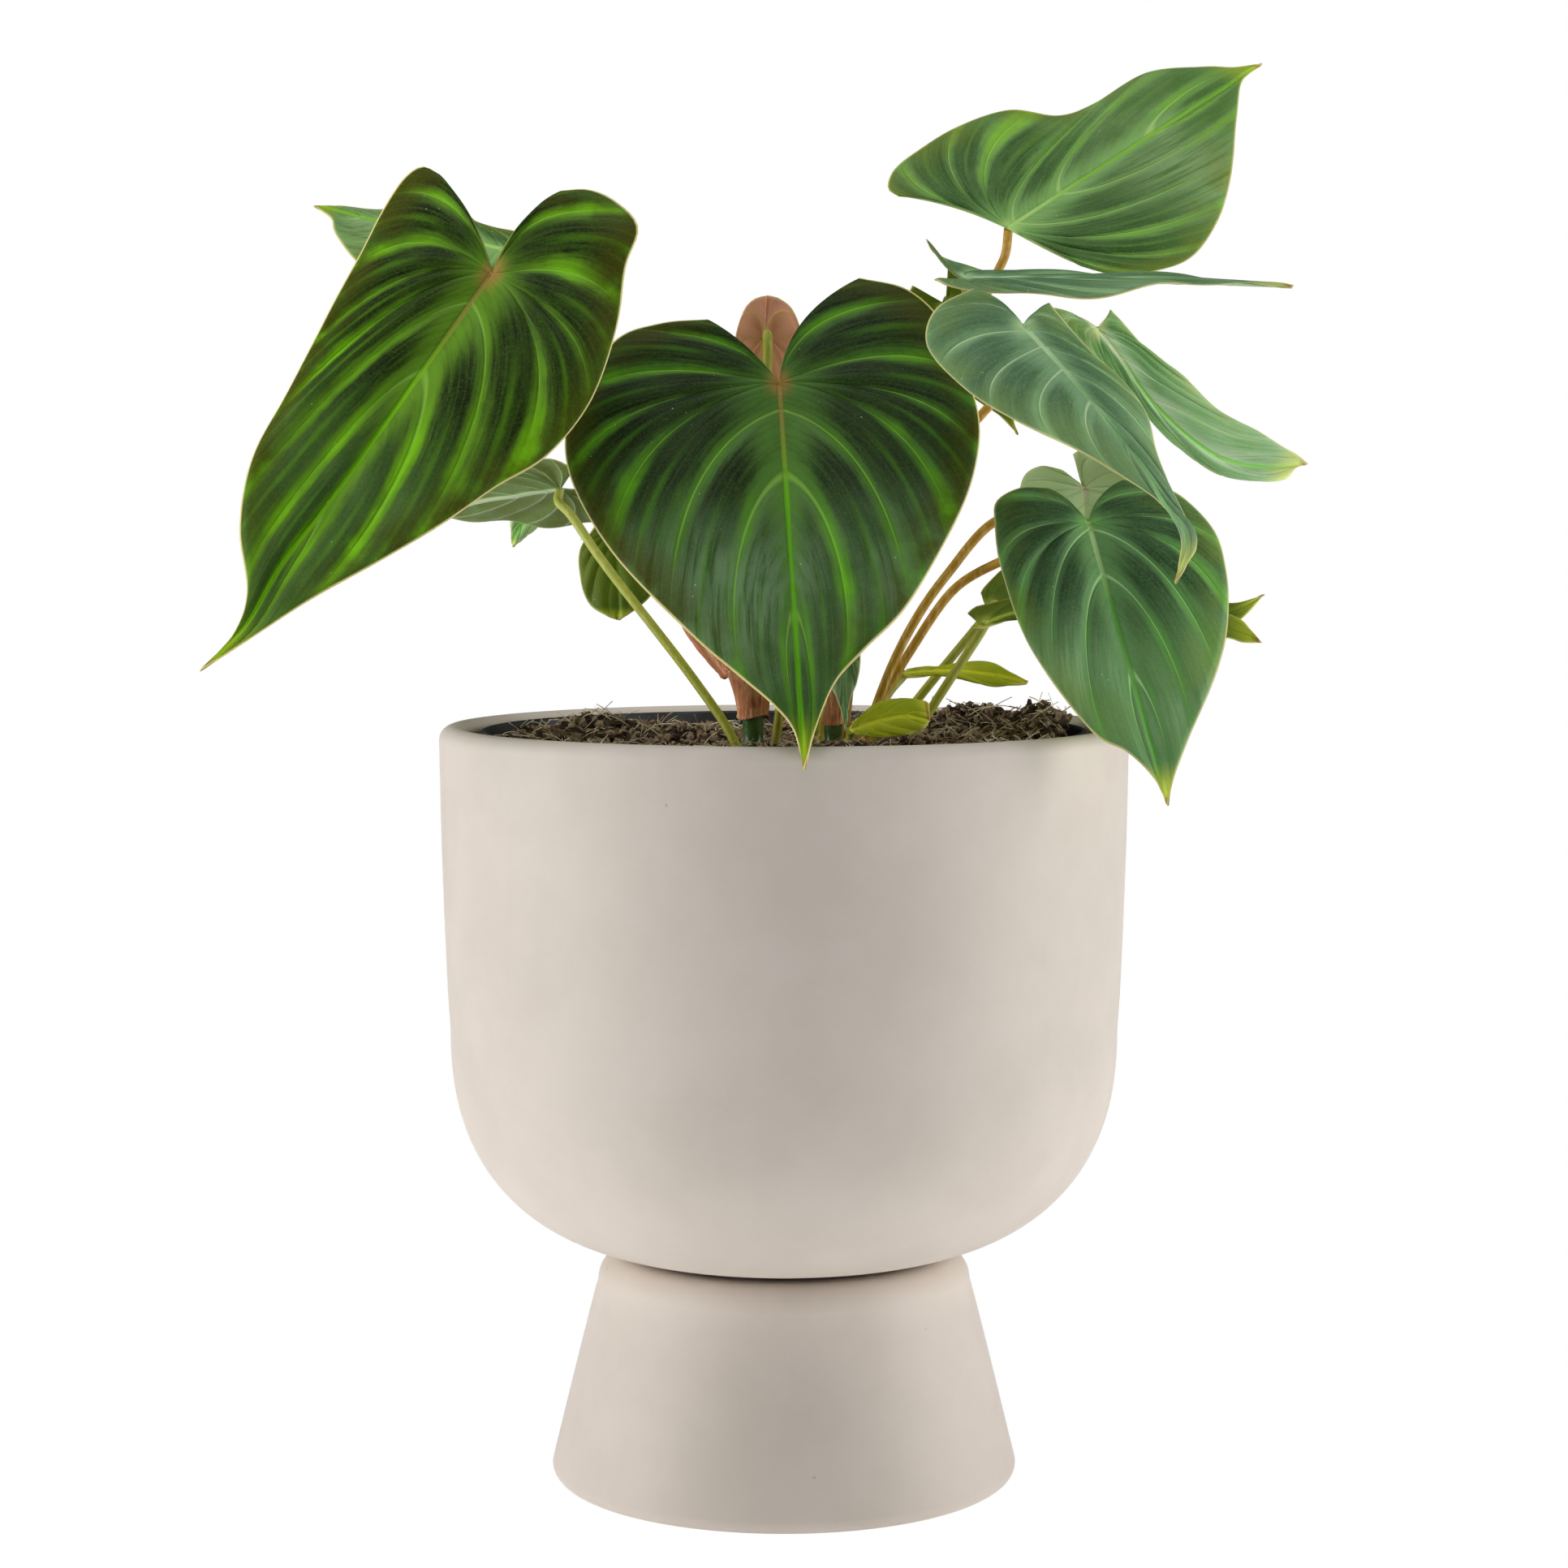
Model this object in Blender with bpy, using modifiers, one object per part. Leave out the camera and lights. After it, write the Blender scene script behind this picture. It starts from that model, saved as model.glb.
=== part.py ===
# A velvet-leaved climbing philodendron in a round footed ceramic planter.
#
# The origin is the middle of the planter's base, on the surface it stands on. +Z is up and the
# plant's best side looks along -Y. Lengths in the tables are millimetres, and MM turns them into
# Blender's metres.

import math

import bmesh
import bpy
import numpy as np
from mathutils import Vector, noise

MM = 0.001
GAP = 0.3              # clearance between two pieces that touch on the real plant
TURN_STEPS = 48        # segments round the planter, the nursery pot and the soil

# The planter: a bowl that stands on a separate foot
RIM_RADIUS = 75.0
POT_HEIGHT = 166.0
BOWL_WALL = 6.0
LIP_ROUND = 3.0
BELLY_Z = 100.0        # below this height the wall turns in
BELLY_RADIUS = 73.0
BELLY_CORE = 20.0      # the radius where the turned-in wall becomes flat
BOWL_BOTTOM_Z = 50.0
BELLY_POWER = 2.4      # squarer than an ellipse, whose power is 2
FOOT_RADIUS = 51.2
FOOT_SHOULDER = 41.0
SHOULDER_ROUND = 6.0
FOOT_EDGE = 3.0
FOOT_WALL = 6.0
FOOT_FLOOR = 7.0       # the foot is a cup: closed and flat underneath, open under the bowl
SEAT_HOLE = 27.0

# The 13 cm nursery pot inside it, and the potting soil
NURSERY_RADIUS = 66.0
NURSERY_TOP_Z = 165.0
NURSERY_BOTTOM_RADIUS = 43.5
NURSERY_BOTTOM_Z = 61.0
NURSERY_WALL = 1.2
NURSERY_LIP = 5.0
SOIL_Z = 161.5
SOIL_BUMP = 2.6
SOIL_SLOPE = 0.03      # the soil lies higher to the right
SOIL_SEED = 7.0

# The leaves
BLADE_THICKNESS = 0.8
RIB_SHARE = 0.5        # the share of a blade's margin, from its tip, whose veins leave the midrib
RIB_POWER = 1.6
VEIN_BEND = 0.45         # 0 for straight side veins, 1 for the strongest bend towards the tip
KNEE = 7.0             # how far under its blade a petiole turns to meet it
PETIOLE_SIDES = 1      # bevel resolution: six sides
ROOT_DEPTH = 9.0       # how deep a petiole stands in the soil

# The two short stems that carry the older leaves, and the brown papery sheaths round them
STEM_TOP_Z = 175.0
STEM_ROOT_Z = 146.0
SHEATH_WALL = 0.8

# Half a heart-shaped blade, from near the tip to the top of its lobe:
# (share of the blade's length, share of its half width)
HEART = [(0.91, 0.07), (0.80, 0.22), (0.62, 0.55), (0.36, 0.88), (0.08, 1.0), (-0.14, 0.84), (-0.22, 0.50)]

# Each leaf: where the petiole meets the blade, which way the blade faces, where its tip is in its
# own plane, its two margins, how it bends, and the petiole's route from its root.
# yaw turns the face to the right and tilt turns it up, in degrees. In the blade's plane the first
# number runs to the blade's right and the second runs down. A margin is a list of such points from
# the tip to the top of the lobe, or a half width, which takes the shape of HEART. left is the margin
# on the left when the tip points down. sinus bends the two edges of the notch, and rib the midrib.
# fold is the slope at which each half rises from the midrib, crown is how far the margins then
# drop, arch is how far tip and lobes curl back, and lift raises (left, right) lobes.
LEAVES = {
    "front": dict(
        joint=(-1, -31, 239), yaw=0, tilt=34, tip=(5, 93), size=3, frontal=True,
        left=[(3, 84), (-1, 78), (-8, 71), (-17, 62), (-33, 43), (-42, 26), (-44, 13), (-41, 1), (-34,
              -11), (-25, -15), (-15, -16)],
        right=[(7, 84), (11, 73), (17, 65), (26, 54), (37, 32), (41, 17), (41, 6), (38, -4), (34, -16),
              (27, -24), (17, -27)],
        sinus=((-6, -10), (1, -17)), fold=0.30, crown=14, arch=3, lift=(0, 0), wave=0.7,
        radius=(1.4, 1.2), stem="left", seat=(0.0, -1.7), route=[(-8, -12, 196), (-6, -12, 220)]),
    "left": dict(
        joint=(-60, -38, 261), yaw=-8, tilt=24, tip=(-52, 88), size=3, frontal=True,
        left=[(-46, 80), (-44, 71), (-47, 57), (-46, 42), (-40, 26), (-29, -3), (-25, -14), (-21, -22),
              (-17, -25), (-13, -23)],
        right=[(-41, 80), (-30, 72), (-17, 64), (-5, 56), (5, 48), (15, 41), (23, 29), (27, 13), (28,
              -1), (30, -10), (25, -16), (19, -19), (13, -19)],
        sinus=((-4, -14), (4, -14)), fold=0.30, crown=10, arch=4, lift=(0, 0), wave=0.8,
        radius=(1.4, 1.2), stem="left", seat=(-1.5, 1.0),
        route=[(-14, -6, 200), (-27, -10, 229), (-43, -20, 250)],
        rib=[(-13, 23), (-26, 46), (-37, 64), (-43.5, 78)]),
    "top": dict(
        joint=(48.8, 5, 273.6), yaw=5, tilt=50, tip=(67.2, -66), size=3, frontal=True,
        right=[(60, -64), (53, -64), (39, -61), (25, -48), (16, -43), (5, -45), (-8, -38), (-18, -28),
              (-22.5, -22.5), (-24.5, -18), (-25, -14), (-23, -11.5)],
        left=[(61, -58), (57, -42), (51, -16), (46, -2), (39, 10), (31, 15), (21, 17), (14, 14)],
        sinus=((7, 8), (-12, -10)), fold=0.25, crown=9, arch=5, lift=(0, 0), wave=0.8, radius=(1.2,
              1.1),
        stem="right", seat=(1.25, 0.6), route=[(17, -4, 200), (31, 3, 228), (41, 8, 252), (46, 9, 263)]),
    "level": dict(
        joint=(38, -22, 261), yaw=0, tilt=74, tip=(69, 0.7), size=2, frontal=False,
        left=[(64, 1.5), (57, 1.6), (50, 2.4), (44.7, 3.4), (35, 8.5), (24, 11.2), (16, 11), (7.8, 9),
              (-3.2, 6.5), (-6.5, 2)],
        right=[(64, -0.6), (57, -1.7), (44.7, -2.6), (32.4, -3), (23.8, -4.6), (12.8, -8), (5, -10.5),
              (-2, -12.5), (-6, -11), (-8, -6)],
        sinus=((-3, 3), (-3, -3)), fold=0.10, crown=3, arch=4, lift=(0, 8), wave=0.5, radius=(1.15,
              1.0),
        stem="right", seat=(-1.25, 0.6), route=[(12, -8, 205), (22, -8, 236), (31, -13, 251)],
        rib_share=0.7),
    "right_upper": dict(
        joint=(49, -42, 250), yaw=5, tilt=30, tip=(26, 60), size=3, frontal=True,
        left=[(27, 56), (28, 49), (25, 42), (18, 36), (8, 29), (-4, 22), (-13, 15), (-20, 5), (-18, -4),
              (-10, -9)],
        right=[(29, 55), (31, 50), (27, 38), (25, 30), (24, 21), (20, 13), (13, 5), (9, -1), (6, -6)],
        sinus=((-3, -7), (2, -4)), fold=0.25, crown=7, arch=3, lift=(0, 0), wave=0.6, radius=(1.5, 1.1),
        root=(-2, -22), route=[(3, -23, 190), (14, -23, 212), (29, -22, 233), (40, -25, 242)],
        rib=[(8, 11), (14.5, 21), (20.5, 31), (25.4, 41), (29, 49.5)], rib_share=0.9),
    "right_far": dict(
        joint=(67, -10, 251), yaw=20, tilt=30, tip=(42, 33), size=3, frontal=True,
        left=[(39, 34), (35, 37), (26, 37), (19, 35), (12, 29), (7, 22), (2, 13), (-2, 6), (-6, 1),
              (-10.5, -2), (-12, -5.5)],
        right=[(40, 31), (37, 29), (32, 25), (24, 20), (18, 12), (14, 8), (9, 3), (6, -2), (4, -5)],
        rib=[(4, 8), (9, 19), (20, 31), (32, 34)], sinus=((-4.5, -5), (2, -2)), fold=0.40, crown=5,
        arch=2, lift=(0, 0), wave=0.5, radius=(1.5, 1.1), root=(13, -1),
        route=[(17, 2, 190), (27, 5, 212), (42, 6, 232), (56, 2, 245)]),
    "right_low": dict(
        joint=(63, -36, 210), yaw=12, tilt=28, tip=(8, 64), size=3, frontal=True,
        left=[(6, 58), (1, 52), (-6, 47), (-16, 29), (-20, 11), (-20, 0), (-19, -5), (-14, -8), (-8, -8)],
        right=[(10, 58), (15, 48), (24, 31), (27, 21), (28, 11), (27, 2), (21, -6), (15, -9), (9, -10)],
        sinus=((-3, -6), (2, -7)),
        fold=0.30, crown=7, arch=2, lift=(0, 0), wave=0.6, radius=(1.8, 1.2), root=(15, -15),
        route=[(21, -12, 172), (27, -10, 182), (36, -10, 195), (45, -14, 201), (51, -23, 203)]),
    "small_pale": dict(
        joint=(64, -15, 217), yaw=0, tilt=35, tip=(0, 21), size=2, frontal=True,
        left=[(-4, 18), (-11, 11), (-14, 4), (-13, -3), (-9, -6), (-5, -5)],
        right=[(4, 18), (10, 11), (12, 4), (9, -3), (5, -7), (0, -10), (-2, -9)],
        sinus=((-2, -3), (-1, -4)),
        fold=0.3, crown=3, arch=2, lift=(0, 0), wave=0.5, radius=(1.5, 1.0), root=(17, -19),
        route=[(22, -17, 177), (28, -15, 189), (35, -14, 199), (45, -12, 210), (57, -11, 212)]),
    "left_back": dict(
        joint=(-59.6, 12, 269), yaw=-10, tilt=40, tip=(-48.4, -15), size=2, frontal=True,
        right=[(-43.5, -11), (-41.4, -6), (-34.4, 3), (-24.4, 12), (-13.4, 17), (-4.4, 17), (4, 13), (8,
              8)],
        left=[(-43.4, -15), (-32.4, -13.5), (-24, -15.5), (-17, -15.5), (-11, -10), (-5.3, -7.5), (0,
              -6), (5, -3)],
        sinus=((2, -2), (3, 3)), fold=0.3, crown=5, arch=3, lift=(0, 0), wave=0.6, radius=(1.5, 1.1),
        root=(-6.7, 12), route=[(-8, 13, 182), (-14, 19, 204), (-24, 21, 226), (-44, 19, 243)],
        rib_share=0.8),
    "left_under": dict(
        joint=(-49, 5, 217), yaw=170, tilt=66, tip=(40, 14), size=2, frontal=False, left=19, right=17,
        fold=0.2, crown=4, arch=4, lift=(0, 0), wave=0.6, radius=(1.5, 1.1), root=(-10.2, -25), knee=3,
        route=[(-19.4, -18, 176.8), (-38, -7, 200), (-46, 0, 211)]),
    "left_drop": dict(
        joint=(-51.2, 30, 213.6), yaw=-5, tilt=20, tip=(-9.6, 10), size=1, frontal=False,
        left=[(-10.1, 8.2), (-10.5, 4.4), (-10.8, 1.9), (-8.8, -1.3)],
        right=[(-6.5, 7.2), (-2.7, 3.8), (0.4, 1.5)], sinus=((-2, -1.5), (0.5, -0.5)), fold=0.2,
              crown=1,
        arch=1, lift=(0, 0), wave=0.2, radius=(1.0, 0.7), root=(-6.8, 20), knee=4,
        route=[(-9, 22, 182), (-14, 31, 200), (-32, 32, 213)], rib_share=0.8,
        rib=[(-4, 1.6), (-7.6, 4.6), (-9.4, 7.6)]),
    "dark_small": dict(
        joint=(-37, 12, 208), yaw=-5, tilt=12, tip=(1, 20), size=1, frontal=False,
        left=[(-2, 19), (-6, 16), (-8, 10), (-8, 4), (-4, -2)],
        right=[(4, 18), (8, 14), (8, 8), (7, 2), (4, -2)], sinus=((-1, -1), (1, -1)), fold=0.2, crown=3,
        arch=2, lift=(0, 0), wave=0.3, radius=(1.2, 0.9), root=(-6.6, 3), knee=3,
        route=[(-7.5, 5, 181), (-10, 12, 196), (-24, 17, 210)]),
    "red_young": dict(
        joint=(-4, 8, 250), yaw=184, tilt=14, tip=(0, 44), size=2, frontal=False,
        left=[(-4, 36), (-7, 25), (-8, 12), (-8, 1), (-6, -6), (-1.5, -9)],
        right=[(4, 36), (6, 25), (7, 12), (7, 1), (5, -6), (1.5, -9)], sinus=((-1, -4), (1, -4)),
        fold=0.3, crown=5, arch=2, lift=(0, 0), wave=0.4, radius=(1.3, 1.0), stem="left",
        seat=(1.5, 1.0), route=[(-5, -7, 196), (-4, -5, 222)]),
    "olive_back": dict(
        joint=(36, 21, 258), yaw=0, tilt=6, tip=(16, 29), size=2, frontal=False,
        left=9, right=9, fold=0.2, crown=3, arch=2, lift=(0, 0), wave=0.4, radius=(1.3, 0.9), root=(8, 8),
        route=[(13, 16, 195), (28, 26, 232)]),
    "low_right_a": dict(
        joint=(45.1, 10, 191), yaw=4, tilt=45, tip=(62.3, -3.9), size=2, frontal=True,
        left=[(56.1, 3.5), (53.1, 5.3), (46.5, 7), (35.7, 7.5), (23.1, 6.7), (12.5, 5.2), (5.5, 3.2),
              (1.7, 1.2)],
        right=[(56.6, -1.5), (53.8, -1.2), (49.4, -1.5), (41, -6.6), (30.6, -11.4), (19.9, -14.6),
              (10.8, -15.2), (4.7, -12.2), (0, -6.7), (-1.3, -4.4)],
        fold=0.1, crown=2, arch=1, lift=(0, 0), wave=0.4, radius=(1.3, 0.9), root=(23.9, 9), knee=4,
        route=[(28.4, 9, 178), (36, 11, 185)], rib=[(15, -3), (30, -2.5), (48, 1.5), (55, 1)],
        sinus=((0.8, 0.3), (-0.8, -1.5)), rib_share=0.8),
    "low_right_b": dict(
        joint=(42.8, -4, 187.5), yaw=4, tilt=50, tip=(60.7, 5.7), size=2, frontal=True,
        left=[(56.5, 5.5), (53.4, 4.1), (44.2, 3.1), (33.8, 1.2), (21.5, -0.7), (12.8, -2), (7.4, -2),
              (3, -0.4), (-0.4, 1.2), (-2.4, 0.4)],
        right=[(58.7, 1.3), (57.2, -1.7), (52.5, -4.8), (43.9, -7.5), (31.6, -10), (17.3, -10.8), (7.9,
              -9), (2, -7), (-0.8, -6), (-2.6, -4)],
        fold=0.1, crown=2, arch=1, lift=(0, 0), wave=0.4, radius=(1.1, 0.8), root=(28.4, -6.5), knee=4,
        route=[(32.2, -6, 175), (37.3, -4, 182)], rib=[(8, -4), (22, -5.2), (38, -3.2), (52, 1)],
        sinus=((-0.9, -0.8), (-0.8, -2)), rib_share=0.85),
    "narrow": dict(
        joint=(25.9, 1.5, 176.9), yaw=0, tilt=50, tip=(27.4, 2.6), size=1, frontal=True,
        left=[(26.8, 3.5), (23.3, 3.9), (20.1, 4.3), (16, 3.1), (12.5, 1.5), (8.8, 0.5), (4.7, 1), (1,
              1.5)],
        right=[(25.4, 1), (23.4, -0.5), (20.4, -3.1), (16.8, -3.9), (12.1, -3.1), (8.7, -2.1), (4.8,
              -2.3), (1.1, -1.3)],
        fold=0.15, crown=1, arch=2, lift=(0, 0), wave=0.2, radius=(1.0, 0.8), root=(19.5, -4), knee=3,
        route=[(20.5, -3.5, 172)], sinus=((0.5, 0.7), (0.5, -0.6)), rib_share=1.0,
        rib=[(4.7, -0.6), (9, -0.8), (13, -0.7), (17, 0), (20.4, 0.7), (24, 1.8)]),
    "yellow_green": dict(
        joint=(14, -29, 166.6), yaw=0, tilt=40, tip=(16.8, -2.3), size=1, frontal=True,
        left=[(15.4, -0.4), (11.9, 1.3), (8.3, 1.9), (4.6, 1.9), (1.7, 1.3)],
        right=[(16.7, -4.9), (16.2, -7.2), (12.4, -8.1), (8, -7.9), (4.9, -6.4), (2.1, -3.6), (0.4,
              -1.7)],
        fold=0.25, crown=1, arch=1, lift=(0, 0), wave=0.2, radius=(1.0, 0.8), root=(12.5, -26), knee=3,
        route=[], sinus=((0.8, 0.6), (0.2, -0.8)), rib=[(5, -2), (11, -3.4)], rib_share=0.9),
    "grey_small": dict(
        joint=(12.5, -32, 184.4), yaw=5, tilt=15, tip=(-0.1, 18.3), size=1, frontal=True,
        left=[(-0.7, 15), (-1.5, 11.9), (-2.6, 9.5), (-3.7, 7.4), (-4, 4.3), (-3.4, 0.9)],
        right=[(0.3, 16.4), (0.6, 13.5), (1.2, 11.1), (2.5, 8), (3.3, 4), (3.2, 0.5), (1.7, -1.2)],
        fold=0.3, crown=1, arch=1, lift=(0, 0), wave=0.2, radius=(1.0, 0.8), root=(5.5, -26),
        route=[(8.5, -26, 174)], sinus=((-1.5, -0.3), (0.8, -0.6))),
}

# A young leaf's sheath that still stands beside the left stem
BRACT = dict(
    joint=(-12.5, -10.2, 176.6), yaw=-15, tilt=8, tip=(-12.4, -17), size=1, frontal=False,
    left=[(-9.3, -15.6), (-6.2, -11.8), (-2.6, -6.8), (0, -3.4), (1.2, -1.2)],
    right=[(-12.3, -15.6), (-11.4, -13.1), (-9.9, -10.2), (-7, -6.4), (-3.9, -3), (-1.9, -1), (-1,
          0.2)],
    fold=0.3, crown=0.5, arch=1, lift=(0, 0), wave=0, rib_share=0.9,
    rib=[(-2.7, -3.4), (-6, -7.8), (-9.4, -12.5)], sinus=((0.6, 0), (-0.3, 0.4)))

# Rows along the margin, and columns across each half, of a small, a middling and a large blade
BLADE_ROWS = {1: 8, 2: 10, 3: 14}
BLADE_COLUMNS = {1: 2, 2: 2, 3: 3}

STEMS = {
    "left": dict(
        place=(-6.6, -12), radius=2.3, sheath_top=178.5, sheath_bottom=168.2, crown=3.2),
    "right": dict(
        place=(10.6, -12), radius=2.0, sheath_top=176.5, sheath_bottom=166.9, crown=2.6),
}

COLOURS = {
    "ceramic": ((0.72, 0.66, 0.59), 0.62),
    "black_plastic": ((0.035, 0.04, 0.045), 0.5),
    "soil": ((0.07, 0.045, 0.03), 0.95),
    "leaf_green": ((0.03, 0.10, 0.025), 0.55),
    "petiole_brown": ((0.25, 0.16, 0.04), 0.55),
    "stem_green": ((0.05, 0.14, 0.04), 0.45),
    "sheath_brown": ((0.25, 0.11, 0.06), 0.8),
}


def clear_scene():
    for obj in list(bpy.data.objects):
        bpy.data.objects.remove(obj)


def make_collection(name):
    made = bpy.data.collections.new(name)
    bpy.context.scene.collection.children.link(made)
    return made


def make_material(name):
    colour, roughness = COLOURS[name]
    material = bpy.data.materials.new(name)
    material.use_nodes = True
    shader = material.node_tree.nodes["Principled BSDF"]
    shader.inputs["Base Color"].default_value = (*colour, 1)
    shader.inputs["Roughness"].default_value = roughness
    shader.inputs["Metallic"].default_value = 0
    return material


def add_object(name, data, collection, material=None):
    obj = bpy.data.objects.new(name, data)
    collection.objects.link(obj)
    if material:
        data.materials.append(material)
    return obj


def turned(name, profile, collection, material):
    """A solid of revolution from a profile of (radius, height), outer side first, top to bottom."""
    mesh = bpy.data.meshes.new(name)
    points = [(r * MM, 0, z * MM) for r, z in profile]
    mesh.from_pydata(points, [(i, i + 1) for i in range(len(points) - 1)], [])
    obj = add_object(name, mesh, collection, material)
    screw = obj.modifiers.new("Turn", "SCREW")
    screw.steps = screw.render_steps = TURN_STEPS
    screw.use_merge_vertices = True
    screw.merge_threshold = 0.00001
    screw.use_smooth_shade = True
    return obj


def belly(inset, angles):
    """The wall of the bowl where it turns in, inset by a distance: (radius, height) from the side to
    the middle of the bottom."""
    across = BELLY_RADIUS - inset - BELLY_CORE
    down = BELLY_Z - BOWL_BOTTOM_Z - inset
    found = []
    for angle in angles:
        deep = math.sin(math.radians(angle)) ** (2 / BELLY_POWER)
        wide = math.cos(math.radians(angle)) ** (2 / BELLY_POWER)
        found.append((BELLY_CORE + across * wide, BELLY_Z - down * deep))
    return found


def arc(centre, radius, start, end, steps):
    angles = [math.radians(start + (end - start) * i / steps) for i in range(steps + 1)]
    return [(centre[0] + radius * math.cos(a), centre[1] + radius * math.sin(a)) for a in angles]


def bowl_profile():
    lip = arc((RIM_RADIUS - LIP_ROUND, POT_HEIGHT - LIP_ROUND), LIP_ROUND, 180, 0, 6)
    outside = [(74.4, 132.0), *belly(0, (0, 12, 23, 34, 45, 56, 67, 78, 90)), (0, BOWL_BOTTOM_Z)]
    inside = [*belly(BOWL_WALL, (0, 22, 42, 60, 75, 90)), (0, BOWL_BOTTOM_Z + BOWL_WALL)]
    return [*inside[::-1], *lip, *outside]


def foot_profile():
    seat = BOWL_BOTTOM_Z - GAP - 0.1
    inside = [(0, FOOT_FLOOR), (FOOT_RADIUS - FOOT_WALL - 2, FOOT_FLOOR), (FOOT_SHOULDER - FOOT_WALL, 38.0),
              (SEAT_HOLE, 44.5), (SEAT_HOLE, seat)]
    shoulder = arc((FOOT_SHOULDER - SHOULDER_ROUND, seat - SHOULDER_ROUND), SHOULDER_ROUND, 90, 0, 5)
    edge = [(FOOT_RADIUS, FOOT_EDGE), (FOOT_RADIUS - 0.9, 0.9), (FOOT_RADIUS - FOOT_EDGE, 0), (0, 0)]
    return [*inside, *shoulder, *edge]


def nursery_profile():
    r, z, w = NURSERY_RADIUS, NURSERY_TOP_Z, NURSERY_WALL
    under_lip = r - w - 0.4
    return [
        (0, NURSERY_BOTTOM_Z + w), (NURSERY_BOTTOM_RADIUS - w, NURSERY_BOTTOM_Z + w),
        (under_lip - w, z - NURSERY_LIP - 1), (r - w, z - NURSERY_LIP), (r - w, z),
        (r, z), (r, z - NURSERY_LIP), (under_lip, z - NURSERY_LIP - 0.6),
        (NURSERY_BOTTOM_RADIUS, NURSERY_BOTTOM_Z), (0, NURSERY_BOTTOM_Z),
    ]


def soil_profile():
    inner_bottom = NURSERY_BOTTOM_RADIUS - NURSERY_WALL - GAP - 0.1
    wall_top = NURSERY_RADIUS - 2 * NURSERY_WALL - 0.4 - GAP - 0.9
    top = [(r, SOIL_Z) for r in (0, 9, 18, 27, 36, 45, 54)]
    return [*top, (wall_top, SOIL_Z - 2.5), (inner_bottom, NURSERY_BOTTOM_Z + NURSERY_WALL + GAP),
            (0, NURSERY_BOTTOM_Z + NURSERY_WALL + GAP)]


def baked(obj):
    """Swaps an object for a plain mesh of its evaluated shape, in world space."""
    graph = bpy.context.evaluated_depsgraph_get()
    graph.update()
    mesh = bpy.data.meshes.new_from_object(obj.evaluated_get(graph))
    mesh.transform(obj.matrix_world)
    name, homes, materials = obj.name, list(obj.users_collection), list(obj.data.materials)
    bpy.data.objects.remove(obj)
    made = bpy.data.objects.new(name, mesh)
    for home in homes:
        home.objects.link(made)
    if materials and not mesh.materials:
        mesh.materials.append(materials[0])
    return made


def weld(mesh, distance):
    work = bmesh.new()
    work.from_mesh(mesh)
    bmesh.ops.remove_doubles(work, verts=work.verts, dist=distance)
    bmesh.ops.recalc_face_normals(work, faces=work.faces)
    work.to_mesh(mesh)
    work.free()


def soil_height(x, y):
    """The soil's top, in millimetres: low mounds with lumps on them."""
    place = Vector((x * 0.045, y * 0.045, SOIL_SEED))
    lumps = Vector((x * 0.16, y * 0.16, SOIL_SEED + 5))
    bumps = SOIL_BUMP * (1.5 * noise.noise(place) + 0.45 * noise.noise(lumps))
    return SOIL_Z + SOIL_SLOPE * x + bumps


def make_soil(collection, material):
    soil = baked(turned("soil", soil_profile(), collection, material))
    weld(soil.data, 0.00001)
    flat = SOIL_Z * MM - 0.0001
    for vertex in soil.data.vertices:
        if vertex.co.z > flat:
            vertex.co.z = soil_height(vertex.co.x / MM, vertex.co.y / MM) * MM
    return soil


def smooth_line(points, each):
    """A Catmull-Rom curve through the points, with a number of steps between neighbours."""
    points = [np.array(p, float) for p in points]
    ends = [2 * points[0] - points[1], *points, 2 * points[-1] - points[-2]]
    found = []
    for a, b, c, d in zip(ends, ends[1:], ends[2:], ends[3:]):
        for i in range(each):
            t = i / each
            found.append(0.5 * (2 * b + (c - a) * t + (2 * a - 5 * b + 4 * c - d) * t ** 2
                                + (3 * b - a - 3 * c + d) * t ** 3))
    return np.array([*found, points[-1]])


def along(line, share):
    """The point at a share of a line's length."""
    steps = np.concatenate([[0], np.cumsum(np.linalg.norm(np.diff(line, axis=0), axis=1))])
    return np.array([np.interp(share * steps[-1], steps, line[:, k]) for k in range(line.shape[1])])


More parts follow.
